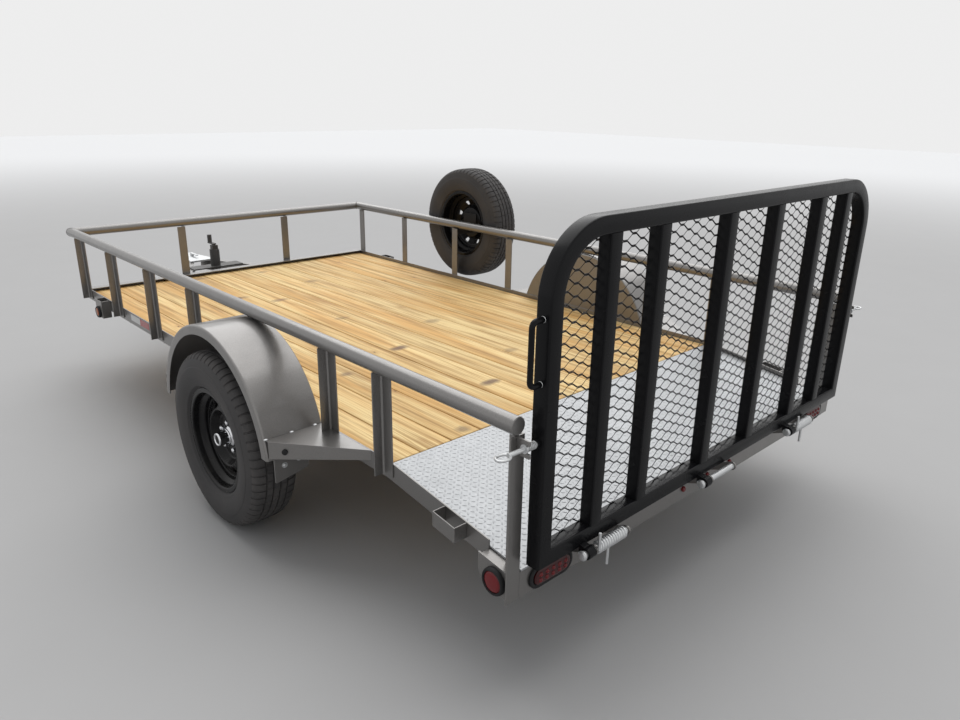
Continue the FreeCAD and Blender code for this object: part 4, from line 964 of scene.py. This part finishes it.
class TRAILER_OT_fenders(bpy.types.Operator):
    """Make the fenders, their gussets and the stake pockets"""

    bl_idname = "trailer.fenders"
    bl_label = "Fenders"

    def execute(self, context):
        # Outer radius, height of the cut ends, rounding of the outer edge, sheet and depth of the lip.
        reach, end, edge, sheet = 0.430, 0.417, 0.022, 0.003
        lip = reach - 0.036
        for name, side in SIDES:
            node = name + "_fender"
            lowest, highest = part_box(node)
            inner = highest.x if side == LEFT else lowest.x
            width = highest.x - lowest.x
            centre = Vector((inner, AXLE.y, highest.z - reach))
            top_out = eased([(width - edge, reach), (width, reach), (width, reach - edge)], edge, 8, False)
            top_in = eased([(width - sheet, reach - edge), (width - sheet, reach - sheet),
                            (width - edge, reach - sheet)], edge - sheet, 8, False)
            profile = [(0, 0.001), (0, reach - 0.004), (0.004, reach), *top_out, (width, lip),
                       (width - sheet, lip), *top_in, (sheet, reach - sheet), (sheet, 0.001)]
            bm = bmesh.new()
            lathe(bm, profile, centre, side, 180.0, 72)
            halved = bmesh.ops.bisect_plane(
                bm, geom=bm.verts[:] + bm.edges[:] + bm.faces[:], plane_co=(0, 0, end), plane_no=(0, 0, 1),
                clear_inner=True)
            rim = [part for part in halved["geom_cut"] if isinstance(part, bmesh.types.BMEdge)]
            bmesh.ops.triangle_fill(bm, use_beauty=True, edges=rim)
            flap_out, flap_in, flap_top = width - 0.026, 0.072, 0.020
            flap = eased([(flap_out, -0.090), (flap_in, -0.064), (flap_in, flap_top), (flap_out, flap_top)],
                         0.005)
            flap_back = AXLE.y - reach + 0.002
            prism(bm, [(side * p.x, p.y) for p in flap], -0.005, on_rear(inner, flap_back, end))
            put_shape(name + "_mudguard", bm, "frame_paint", stands_for=(node,), crease=28.0)
            bolts = [(inner + side * x, flap_back - 0.0005, end + z)
                     for x, z in ((0.11, -0.02), (0.165, -0.03))]
            mesh = grown(name + "_flap_bolts", nut_tree(), "zinc", {
                "Radius": 0.0075, "Height": 0.005, "Washer": 0.0105, "Dome": 0.2,
                "Turn": (math.pi / 2, 0.0, 0.0),
            }, points_mesh(bolts))
            put(name + "_flap_bolts", mesh, "zinc")
            steel_copy(name + "_gussets", "frame_paint", edge=0.0008)
            steel_copy(name + "_stake_pockets", "frame_paint", edge=0.0019)
            plate = high(name + "_gussets").z
            tacks = bmesh.new()
            for x in (0.030, 0.121, 0.218):
                bead(tacks, (inner + side * x, AXLE.y - 0.411, plate), 0.006, (1.3, 1, 0.6))
            put_shape(name + "_tacks", tacks, "zinc")
            plug = bmesh.new()
            run = Vector((side * 0.220, 0.277, 0)).normalized()
            place = axes(run, (0, 0, 1), (inner + side * 0.186, AXLE.y - 0.477, plate - 0.032))
            levels = ((0, -0.003), (0, 0.003), (0.004, 0.0045))
            stack(plug, ring_of(0.010, 24), [(inset, side * height) for inset, height in levels], place)
            put_shape(name + "_plug", plug, "grommet")
        return {"FINISHED"}


class TRAILER_OT_tongue(bpy.types.Operator):
    """Make the tongue, the coupler and the jack"""

    bl_idname = "trailer.tongue"
    bl_label = "Tongue"

    def execute(self, context):
        steel_copy("tongue", "frame_paint")
        steel_copy("coupler", "zinc", edge=0.003)
        steel_copy("coupler_latch", "zinc", edge=0.0016)
        steel_copy("jack_housing", "jack_grey", edge=0.002)
        steel_copy("jack_crank", "jack_grey", edge=0.0014)
        steel_copy("jack_leg", "zinc", "jack_leg", edge=0.0014)
        return {"FINISHED"}


class TRAILER_OT_axle(bpy.types.Operator):
    """Make the axle, the leaf springs, their hangers and the spare wheel's mount"""

    bl_idname = "trailer.axle"
    bl_label = "Axle"

    def execute(self, context):
        steel_copy("axle", "axle_black")
        steel_copy("leaf_springs", "axle_black", edge=0.0009)
        steel_copy("spring_hangers", "frame_paint")
        steel_copy("spare_mount", "axle_black")
        return {"FINISHED"}


# Half of the tyre's section from bead to middle, in millimetres: X, radius, kind of row.
PLAIN, RIB, SHOULDER = 0, 1, 2
TYRE_ROWS = (
    (71.7, 190.3, PLAIN), (71.7, 204, PLAIN), (74, 209, PLAIN), (79, 212.5, PLAIN), (83.5, 215, PLAIN),
    (85.5, 218, PLAIN), (86, 221.5, PLAIN), (89.5, 230, PLAIN), (93, 241, PLAIN), (95.6, 254, PLAIN),
    (96.7, 266, PLAIN), (96.9, 277, PLAIN), (96.2, 288, PLAIN), (95.7, 290, PLAIN), (94.3, 291.2, PLAIN),
    (93.9, 293.5, PLAIN), (92, 303, PLAIN), (89, 313, PLAIN), (86.6, 319.5, PLAIN), (86.4, 321, SHOULDER),
    (83, 327, SHOULDER), (77, 333, SHOULDER), (70, 338, SHOULDER), (62, 340.8, SHOULDER),
    (53, 342.4, SHOULDER), (44.6, 343.2, SHOULDER), (43.6, 336.4, PLAIN), (38.4, 336.4, PLAIN),
    (37.4, 343.5, RIB), (27, 343.8, RIB), (17, 344, RIB), (16, 337, PLAIN), (11, 337, PLAIN), (10, 344, RIB),
)
# Depth of the cuts by kind of row and half width of the tread, in millimetres.
CUT_DEPTHS = (0.0, 2.2, 5.0)
TREAD_HALF = 60
# Stations along a block of the tread, as shares of it, with 1 where it is cut and 0 where it is full.
BLOCK_STATIONS = ((0.0, 0), (0.05, 1), (0.19, 1), (0.24, 0), (0.62, 0))
# Rim section in millimetres: X, radius.
RIM_ROWS = (
    (76, 206), (72, 206), (72, 190), (46, 188), (34, 168), (-10, 168), (-22, 188), (-72, 190), (-72, 206),
    (-76, 206), (-76, 186), (-24, 184), (-12, 164), (10, 164), (10, 146), (34, 112), (0, 96), (0, 43),
    (5, 43), (7, 92), (40, 110), (20, 148), (20, 164), (36, 164), (48, 184), (76, 186),
)
# Hub and cap section, and the plug in the cap, in millimetres: X, radius.
HUB_ROWS = (
    (-48, 20.3), (-48, 48), (-8, 48), (-8, 68), (0, 68), (0, 41), (14, 41), (20, 31), (24, 31), (26, 27.5),
    (60, 27), (65, 24), (65, 20), (61, 18), (61, 0), (20, 0), (20, 20.3),
)
PLUG_ROWS = ((60, 0), (60, 17.6), (62.5, 17.2), (63.4, 14), (63.8, 0))


def metres(rows):
    return [(x / 1000, radius / 1000) for x, radius in rows]


def make_tyre(name, centre, body, node, blocks):
    """A tyre with four grooves round its tread, cut shoulders and slanted sipes."""
    rows = TYRE_ROWS + tuple((-x, r, kind) for x, r, kind in reversed(TYRE_ROWS))
    bm = bmesh.new()
    layer = bm.verts.layers.float.new("tread")
    rings = []
    for block_number in range(blocks):
        for part, sunk in BLOCK_STATIONS:
            ring = []
            for x, r, kind in rows:
                # The sipes slant across the ribs, and the halves are half a block apart.
                shift = (0.35 * x / 67 if kind == RIB else 0.0) + (0.5 if x < 0 else 0.0)
                turn = 2 * math.pi * (block_number + part + shift) / blocks
                radius = (r - sunk * CUT_DEPTHS[kind]) / 1000
                ring.append((centre.x + x / 1000, centre.y + radius * math.cos(turn),
                             centre.z + radius * math.sin(turn)))
            rings.append(ring)
    for ring in skin(bm, rings, closed=True):
        for vert, (x, _, kind) in zip(ring, rows):
            vert[layer] = 1.0 if kind != PLAIN or abs(x) < TREAD_HALF else 0.0
    bmesh.ops.recalc_face_normals(bm, faces=bm.faces)
    put(name, mesh_from(name, bm, 38.0), "tyre_rubber", body, (node,))


def make_rim(name, centre, side, body, node):
    """A steel rim with eight hand holes through its bowl."""
    bm = bmesh.new()
    lathe(bm, eased(metres(RIM_ROWS), 0.006, 4), centre, side, steps=120)
    cutter_bm = bmesh.new()
    hole = eased([(0.1185, -0.010), (0.1415, -0.0185), (0.1415, 0.0185), (0.1185, 0.010)], 0.007, 4)
    for i in range(8):
        turn = Matrix.Rotation(math.radians(45 * i + 22.5), 4, "X")
        prism(cutter_bm, hole, side * 0.06, Matrix.Translation(centre) @ turn @ axes((0, 1, 0), (0, 0, 1)))
    holder = bpy.data.objects.new(name + "_blank", closed_mesh(name, bm, 30.0))
    cutter = bpy.data.objects.new(name + "_cutter", closed_mesh(name + "_cutter", cutter_bm))
    for part in (holder, cutter):
        bpy.context.scene.collection.objects.link(part)
    cut = holder.modifiers.new("windows", "BOOLEAN")
    cut.object = cutter
    cut.operation = "DIFFERENCE"
    cut.solver = "EXACT"
    mesh = settled(holder)
    mesh.set_sharp_from_angle(angle=math.radians(30))
    for part in (holder, cutter):
        bpy.data.objects.remove(part)
    put(name, mesh, "rim_black", body, (node,))


class TRAILER_OT_wheels(bpy.types.Operator):
    """Make the two road wheels and the spare wheel"""

    bl_idname = "trailer.wheels"
    bl_label = "Wheels"

    def execute(self, context):
        blocks = context.scene.trailer_sizes.tread_blocks
        stud_circle = 0.05715
        for name, side, body in (("left", LEFT, "left_wheel"), ("right", RIGHT, "right_wheel"),
                                 ("spare", RIGHT, "chassis")):
            centre = middle(name + "_tyre")
            make_tyre(name + "_tread", centre, body, name + "_tyre", blocks)
            make_rim(name + "_wheel_disc", centre, side, body, name + "_rim")
            if name == "spare":
                continue
            hub = bmesh.new()
            lathe(hub, eased(metres(HUB_ROWS), 0.0016, 3), centre, side, steps=64)
            put_shape(name + "_hub_cap", hub, "chrome", body, (name + "_hub",))
            plug = bmesh.new()
            lathe(plug, metres(PLUG_ROWS), centre, side, steps=40, closed=False)
            put_shape(name + "_cap_plug", plug, "grommet", body)
            place = axes((0, 0, 1), (0, -1, 0), centre + Vector((side * 0.0075, 0, 0)))
            nuts = [place @ Vector((a, b, 0)) for a, b in ring_of(stud_circle, 5)]
            mesh = grown(name + "_lug_nuts", nut_tree(), "chrome", {
                "Radius": 0.0108, "Height": 0.013, "Washer": 0.011, "Dome": 0.62,
                "Turn": (0.0, side * math.pi / 2, 0.0),
            }, points_mesh(nuts))
            put(name + "_lug_nuts", mesh, "chrome", body)
        return {"FINISHED"}


class TRAILER_OT_gate(bpy.types.Operator):
    """Make the ramp gate's bent tube frame and its bars"""

    bl_idname = "trailer.gate"
    bl_label = "Gate"

    def execute(self, context):
        depth = (GATE_LOW.y + GATE_HIGH.y) / 2
        steps = 16
        stations = [((-GATE_HALF, GATE_BOTTOM), (-1, -1))]
        for centre_x, first in ((-GATE_HALF + GATE_BEND, 180), (GATE_HALF - GATE_BEND, 90)):
            for k in range(steps + 1):
                turn = math.radians(first - 90 * k / steps)
                out = (math.cos(turn), math.sin(turn))
                z = GATE_TOP - GATE_BEND + GATE_BEND * out[1]
                stations.append(((centre_x + GATE_BEND * out[0], z), out))
        stations.append(((GATE_HALF, GATE_BOTTOM), (1, -1)))
        section = round_rect(TUBE, TUBE, 0.0055)
        bent = bmesh.new()
        skin(bent, [[(x + out[0] * a, depth + b, z + out[1] * a) for a, b in section]
                    for (x, z), out in stations], closed=True)
        put_shape("gate_tube", bent, "gate_black", "gate", ("gate_frame",), 40.0)
        bars = bmesh.new()
        lowest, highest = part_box("gate_bars")
        bar_section = round_rect(TUBE, highest.y - lowest.y, 0.005)
        sunk = 0.001
        for x in (-0.703, -0.486, -0.127, 0.175, 0.499, 0.716):
            skin(bars, [[(x + a, (lowest.y + highest.y) / 2 + b, z) for a, b in bar_section]
                        for z in (lowest.z - sunk, highest.z + sunk)])
        put_shape("gate_uprights", bars, "gate_black", "gate", ("gate_bars",), 40.0)
        return {"FINISHED"}


class TRAILER_OT_gate_mesh(bpy.types.Operator):
    """Make the gate's expanded mesh"""

    bl_idname = "trailer.gate_mesh"
    bl_label = "Gate mesh"

    def execute(self, context):
        sizes = context.scene.trailer_sizes
        mesh = grown("gate_mesh_strands", mesh_tree(), "gate_black", {
            "Long Way": sizes.mesh_long, "Short Way": sizes.mesh_short, "Strand": sizes.strand,
            "Thickness": 0.0015, "Tilt": math.radians(38),
            "Columns": int(2 * GATE_HALF / sizes.mesh_long) + 3,
            "Rows": int((GATE_TOP - GATE_BOTTOM) * 2 / sizes.mesh_short) + 1,
            "Half Width": GATE_HALF, "Top": GATE_TOP, "Bottom": GATE_BOTTOM, "Corner": GATE_BEND,
        })
        mesh.transform(Matrix.Translation((0, middle("gate_mesh").y, 0)))
        put("gate_mesh_strands", mesh, "gate_black", "gate", ("gate_mesh",))
        return {"FINISHED"}


def add_coil(bm, at, turns, radius, length, wire):
    """Add a coil spring along X to a bmesh, centred on a point."""
    coil = grown("coil", coil_tree(), "zinc", {
        "Turns": turns, "Radius": radius, "Length": length, "Wire": wire})
    coil.transform(Matrix.Translation(at))
    bm.from_mesh(coil)


class TRAILER_OT_gate_handle(bpy.types.Operator):
    """Make the gate's handle"""

    bl_idname = "trailer.gate_handle"
    bl_label = "Gate handle"

    def execute(self, context):
        lowest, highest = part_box("gate_handle")
        inset, y = 0.006, (lowest.y + highest.y) / 2
        grip_x, bottom, top = lowest.x + inset, lowest.z + inset, highest.z - inset
        bm = bmesh.new()
        tube(bm, [(GATE_LOW.x, y, bottom), (grip_x, y, bottom), (grip_x, y, top), (GATE_LOW.x, y, top)],
             0.0078, 16, corner=0.022)
        put_shape("gate_grip", bm, "gate_black", "gate", ("gate_handle",))
        return {"FINISHED"}


class TRAILER_OT_gate_hinges(bpy.types.Operator):
    """Make the gate's hinges and their springs"""

    bl_idname = "trailer.gate_hinges"
    bl_label = "Gate hinges"

    def execute(self, context):
        steel_copy("hinge_ears", "frame_paint")
        pitch = 0.612
        starts = [low("hinge_pins").x + pitch * i for i in range(3)]
        # The eye of the gate's lug, its web in (Y, Z), and the pin.
        eye = [(0.018, 0.0114), (0.018, 0.0165), (0.0195, 0.018),
               (0.0465, 0.018), (0.048, 0.0165), (0.048, 0.0114)]
        web = [(HINGE.y, HINGE.z - 0.006), (GATE_LOW.y + 0.001, HINGE.z - 0.004),
               (GATE_LOW.y + 0.001, HINGE.z + 0.021), (HINGE.y + 0.004, HINGE.z + 0.0165)]
        pin = [(0.0, 0.0), (0.0015, 0.011), (0.005, 0.015), (0.0085, 0.015), (0.010, 0.011),
               (0.2145, 0.011), (0.216, 0.0095), (0.216, 0.0)]
        lugs, pins = bmesh.new(), bmesh.new()
        for start in starts:
            at = Vector((start, HINGE.y, HINGE.z))
            lathe(lugs, eye, at, steps=32)
            prism(lugs, eased(web, 0.004), 0.026, axes((0, 1, 0), (0, 0, 1), (start + 0.020, 0, 0)))
            lathe(pins, pin, at, steps=28, closed=False)
        put_shape("lug_eyes", lugs, "gate_black", "gate", ("gate_lugs",))
        put_shape("hinge_rods", pins, "zinc", stands_for=("hinge_pins",))
        coils, arms = bmesh.new(), bmesh.new()
        arm_y = HINGE.y - 0.0135
        for start in (starts[0], starts[2]):
            add_coil(coils, (start + 0.131, HINGE.y, HINGE.z), 12.0, 0.0139, 0.126, 0.005)
            for bm, x, rise in ((arms, start + 0.0625, 0.056), (coils, start + 0.104, -0.062)):
                tube(bm, [(x, arm_y, HINGE.z + 0.001), (x, arm_y, HINGE.z + rise)], 0.0045, 10)
        put_shape("hinge_coils", coils, "zinc", stands_for=("gate_springs",), crease=50.0)
        put_shape("spring_arms", arms, "zinc", "gate", crease=50.0)
        return {"FINISHED"}


class TRAILER_OT_gate_latches(bpy.types.Operator):
    """Make the gate's latches and the tacks of its handle"""

    bl_idname = "trailer.gate_latches"
    bl_label = "Gate latches"

    def execute(self, context):
        steel_copy("latch_forks", "frame_paint")
        pins, collars = bmesh.new(), bmesh.new()
        lowest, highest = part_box("gate_handle")
        for end in (lowest.z + 0.006, highest.z - 0.006):
            bead(pins, (GATE_LOW.x + 0.001, (lowest.y + highest.y) / 2, end), 0.009, (0.5, 1, 1))
        lowest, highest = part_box("latch_pins")
        y, z = (lowest.y + highest.y) / 2, (lowest.z + highest.z) / 2
        washer = 0.0125
        for side in (LEFT, RIGHT):
            outer = side * (highest.x - 0.012)
            inner = side * GATE_HIGH.x
            tube(pins, [(inner, y, z), (outer, y, z)], 0.0065, 18)
            tube(pins, [(inner + side * 0.046, y, z), (inner + side * 0.050, y, z)], washer, 18)
            tube(collars, [(inner, y, z), (inner + side * 0.006, y, z)], washer, 18)
            add_coil(pins, (inner + side * 0.026, y, z), 6.0, 0.009, 0.034, 0.0016)
            ring = ring_of(1.0, 28)
            tube(pins, [(outer + side * (0.017 + 0.021 * a), y + 0.0155 * b, z) for a, b in ring + ring[:1]],
                 0.0038, 10)
        put_shape("latch_rods", pins, "zinc", "gate", ("latch_pins",))
        put_shape("latch_collars", collars, "gate_black", "gate")
        return {"FINISHED"}


class TRAILER_OT_lamps(bpy.types.Operator):
    """Make the lamps and their rubber rings"""

    bl_idname = "trailer.lamps"
    bl_label = "Lamps"

    def execute(self, context):
        lenses, ovals, rings, ambers = bmesh.new(), bmesh.new(), bmesh.new(), bmesh.new()
        # The oval lenses' layers, and the rings of their rubber: half length, half height, depth.
        oval_levels = ((0, 0), (0, 0.010), (0.003, 0.0122), (0.008, 0.0129))
        oval_ring = [(0.090, 0.037, 0.0), (0.090, 0.037, 0.006), (0.087, 0.034, 0.0088),
                     (0.080, 0.029, 0.0088), (0.0765, 0.0255, 0.0065), (0.0765, 0.0255, 0.0)]
        for side in (LEFT, RIGHT):
            lamp_x = side * (RAIL_HALF - 0.126)
            place = on_rear(lamp_x, REAR, LAMP_HEIGHT)
            stack(ovals, stadium(0.075, 0.024), oval_levels, place)
            for k in range(5):
                for row in (-0.009, 0.009):
                    bead(lenses, (lamp_x + (k - 2) * 0.026, REAR - 0.0095, LAMP_HEIGHT + row), 0.0082)
            skin(rings, [[place @ Vector((a, b, depth)) for a, b in stadium(long, tall)]
                         for long, tall, depth in oval_ring], closed=True)
        for x in (-0.153, 0.0, 0.153):
            stack(lenses, ring_of(0.0100, 20), ((0, 0), (0, 0.005), (0.003, 0.0075)),
                  on_rear(x, REAR, LAMP_HEIGHT))
        # The round lamps on the sides: lens shape, X, Y and Z of the centre, radius of the lens and ring.
        amber = middle("amber_markers")
        for bm, x, y, z, lens_radius, ring_radius in (
            (lenses, 0.990, REAR + 0.062, LAMP_HEIGHT, 0.032, 0.042),
            (ambers, 1.006, amber.y, amber.z, 0.026, 0.033),
        ):
            dome = [(0, 0), (0, lens_radius), (0.009, lens_radius), (0.012, lens_radius - 0.003),
                    (0.0138, lens_radius - 0.010), (0.014, 0)]
            bore = lens_radius + 0.0004
            ring = [(0, bore), (0, ring_radius), (0.007, ring_radius), (0.011, ring_radius - 0.002),
                    (0.0135, ring_radius - 0.005), (0.012, bore)]
            for side in (LEFT, RIGHT):
                lathe(bm, dome, Vector((side * x, y, z)), side, steps=36, closed=False)
                lathe(rings, ring, Vector((side * x, y, z)), side, steps=40)
        put_shape("red_lenses", lenses, "red_lens", stands_for=("tail_lamps",))
        put_shape("oval_lenses", ovals, "smoked_lens")
        put_shape("amber_lenses", ambers, "amber_lens", stands_for=("amber_markers",))
        put_shape("rubber_rings", rings, "grommet", stands_for=("lamp_grommets",))
        return {"FINISHED"}


class TRAILER_OT_tape(bpy.types.Operator):
    """Make the reflective strips on the side rails"""

    bl_idname = "trailer.tape"
    bl_label = "Tape"

    def execute(self, context):
        start, end, thickness = REAR + 2.6, REAR + 2.85, 0.0008
        tape = bmesh.new()
        layer = tape.loops.layers.uv.new("tape")
        for side in (LEFT, RIGHT):
            faces = sorted((side * RAIL_HALF, side * (RAIL_HALF + thickness)))
            block(tape, (faces[0], start, 0.450), (faces[1], end, 0.484), 0.0002, 1)
        for face in tape.faces:
            for loop in face.loops:
                loop[layer].uv = (loop.vert.co.y - start, loop.vert.co.z)
        put("reflective_strips", mesh_from("reflective_strips", tape), "reflector_tape")
        return {"FINISHED"}


class TRAILER_OT_welds(bpy.types.Operator):
    """Make the weld beads where steel meets steel"""

    bl_idname = "trailer.welds"
    bl_label = "Welds"

    def execute(self, context):
        chains = []
        sink = 0.001
        top = TOP_RAIL.z - PIPE + sink
        for side in (LEFT, RIGHT):
            corner = Vector((side * -TOP_RAIL.x, FRONT, TOP_RAIL.z))
            ring = ring_of(PIPE + 0.0003, 24)
            chains.append([corner + Vector((side * a, a, b)) for a, b in ring + ring[:1]])
            for y in POST_HEELS:
                # Along the upright's two legs: distances out from the rail's face and ahead of the heel.
                for leg in (((sink, 0), (sink, -0.044)), ((0.0, -sink), (0.036, -sink))):
                    chains.append([Vector((side * (RAIL_HALF + out), REAR + y + ahead, top))
                                   for out, ahead in leg])
        points, edges = [], []
        for chain in chains:
            first = len(points)
            points += chain
            edges += [(first + i, first + i + 1) for i in range(len(chain) - 1)]
        mesh = grown("weld_beads", weld_tree(), "frame_paint", {"Width": 0.0022, "Pitch": 0.0035},
                     points_mesh(points, edges))
        mesh.shade_smooth()
        put("weld_beads", mesh, "frame_paint")
        return {"FINISHED"}


def seen_ray(tree):
    """1 for rays that show the floor or the sky in the picture, also in a reflection or through a lens."""
    path = new_node(tree, "ShaderNodeLightPath").outputs
    shown = calc(tree, "MAXIMUM", path["Is Camera Ray"], path["Is Glossy Ray"])
    return calc(tree, "MAXIMUM", shown, path["Is Transmission Ray"])


def on_stage(name, data):
    """Add an object of the stage to the scene."""
    made = bpy.data.objects.new(name, data)
    bpy.context.scene.collection.objects.link(made)
    return made


class TRAILER_OT_stage(bpy.types.Operator):
    """Make the floor, the light and the camera"""

    bl_idname = "trailer.stage"
    bl_label = "Stage"

    def execute(self, context):
        self.make_floor(context.scene.trailer_stage)
        self.make_light(context.scene)
        self.make_camera(context.scene)
        context.scene.view_settings.view_transform = "Standard"
        return {"FINISHED"}

    def make_floor(self, stage):
        """A wide floor that pales into the backdrop with distance."""
        def links(tree):
            place = object_place(tree)
            far = spread(tree, length_of(tree, place), 6.0, 20.0, interpolation_type="SMOOTHSTEP")
            near = blend(tree, noise(tree, place, 3.0, 5.0), [c * 0.96 for c in stage.floor], stage.floor)
            return {"Base Color": blend(tree, far, near, stage.backdrop)}
        bm = bmesh.new()
        bmesh.ops.create_grid(bm, x_segments=8, y_segments=8, size=30)
        floor = on_stage("floor", mesh_from("floor", bm))
        floor.data.materials.append(new_material("floor", links, {
            "Roughness": 0.9, "Specular IOR Level": 0.1}))

    def make_light(self, scene):
        """An even sky that shows as the backdrop, and a wide soft sun."""
        stage = scene.trailer_stage
        scene.world = bpy.data.worlds.new("soft_sky")
        scene.world.use_nodes = True
        tree = scene.world.node_tree
        tree.nodes.clear()
        soft = add(tree, "ShaderNodeBackground", {"Color": (0.95, 0.97, 1.0, 1.0), "Strength": stage.sky})
        pale = add(tree, "ShaderNodeBackground", {"Color": opaque(stage.backdrop), "Strength": 0.99})
        both = add(tree, "ShaderNodeMixShader", {0: seen_ray(tree), 1: soft, 2: pale})
        new_node(tree, "ShaderNodeOutputWorld", {"Surface": both})
        sun = bpy.data.lights.new("sun", "SUN")
        sun.energy = stage.key
        sun.angle = math.radians(80)
        on_stage("sun", sun).rotation_euler = Vector((0.42, 0.38, 0.82)).to_track_quat("Z", "Y").to_euler()

    def make_camera(self, scene):
        """The camera at the photograph's place, turned and tilted as it was."""
        yaw, pitch, roll = math.radians(43.50), math.radians(19.32), math.radians(0.971)
        ahead = Vector((math.sin(yaw) * math.cos(pitch), math.cos(yaw) * math.cos(pitch), -math.sin(pitch)))
        right = Vector((math.cos(yaw), -math.sin(yaw), 0))
        up = right.cross(ahead)
        tilted_right = right * math.cos(roll) + up * math.sin(roll)
        tilted_up = up * math.cos(roll) - right * math.sin(roll)
        data = bpy.data.cameras.new("camera")
        data.sensor_fit = "HORIZONTAL"
        data.sensor_width = 36.0
        data.lens = scene.trailer_stage.lens
        camera = on_stage("camera", data)
        turn = Matrix((tilted_right, tilted_up, -ahead)).transposed().to_4x4()
        camera.matrix_world = Matrix.Translation((-2.2078, REAR - 1.1482, 1.5772)) @ turn
        scene.camera = camera


OPERATORS = (
    TRAILER_OT_stage,
    TRAILER_OT_rails,
    TRAILER_OT_top_rail,
    TRAILER_OT_deck,
    TRAILER_OT_dovetail,
    TRAILER_OT_fenders,
    TRAILER_OT_tongue,
    TRAILER_OT_axle,
    TRAILER_OT_wheels,
    TRAILER_OT_gate,
    TRAILER_OT_gate_mesh,
    TRAILER_OT_gate_handle,
    TRAILER_OT_gate_hinges,
    TRAILER_OT_gate_latches,
    TRAILER_OT_lamps,
    TRAILER_OT_tape,
    TRAILER_OT_welds,
)


SETTINGS = (
    ("trailer_colours", TrailerColours),
    ("trailer_sizes", TrailerSizes),
    ("trailer_stage", TrailerStage),
)


class TRAILER_PT_pieces(bpy.types.Panel):
    """Lists the trailer's pieces"""

    bl_idname = "TRAILER_PT_pieces"
    bl_label = "Trailer pieces"
    bl_space_type = "VIEW_3D"
    bl_region_type = "UI"
    bl_category = "Trailer"

    def draw(self, context):
        column = self.layout.column()
        for operator in OPERATORS:
            column.operator(operator.bl_idname)
        for setting, kind in SETTINGS:
            for name in kind.__annotations__:
                column.prop(getattr(context.scene, setting), name)


def register():
    for name, group in SETTINGS:
        bpy.utils.register_class(group)
        setattr(bpy.types.Scene, name, bpy.props.PointerProperty(type=group))
    for made in OPERATORS + (TRAILER_PT_pieces,):
        bpy.utils.register_class(made)


def unregister():
    for made in reversed(OPERATORS + (TRAILER_PT_pieces,)):
        bpy.utils.unregister_class(made)
    for name, group in reversed(SETTINGS):
        delattr(bpy.types.Scene, name)
        bpy.utils.unregister_class(group)


def main():
    register()
    for operator in OPERATORS:
        area, action = operator.bl_idname.split(".")
        getattr(getattr(bpy.ops, area), action)()


if __name__ == "__main__":
    main()
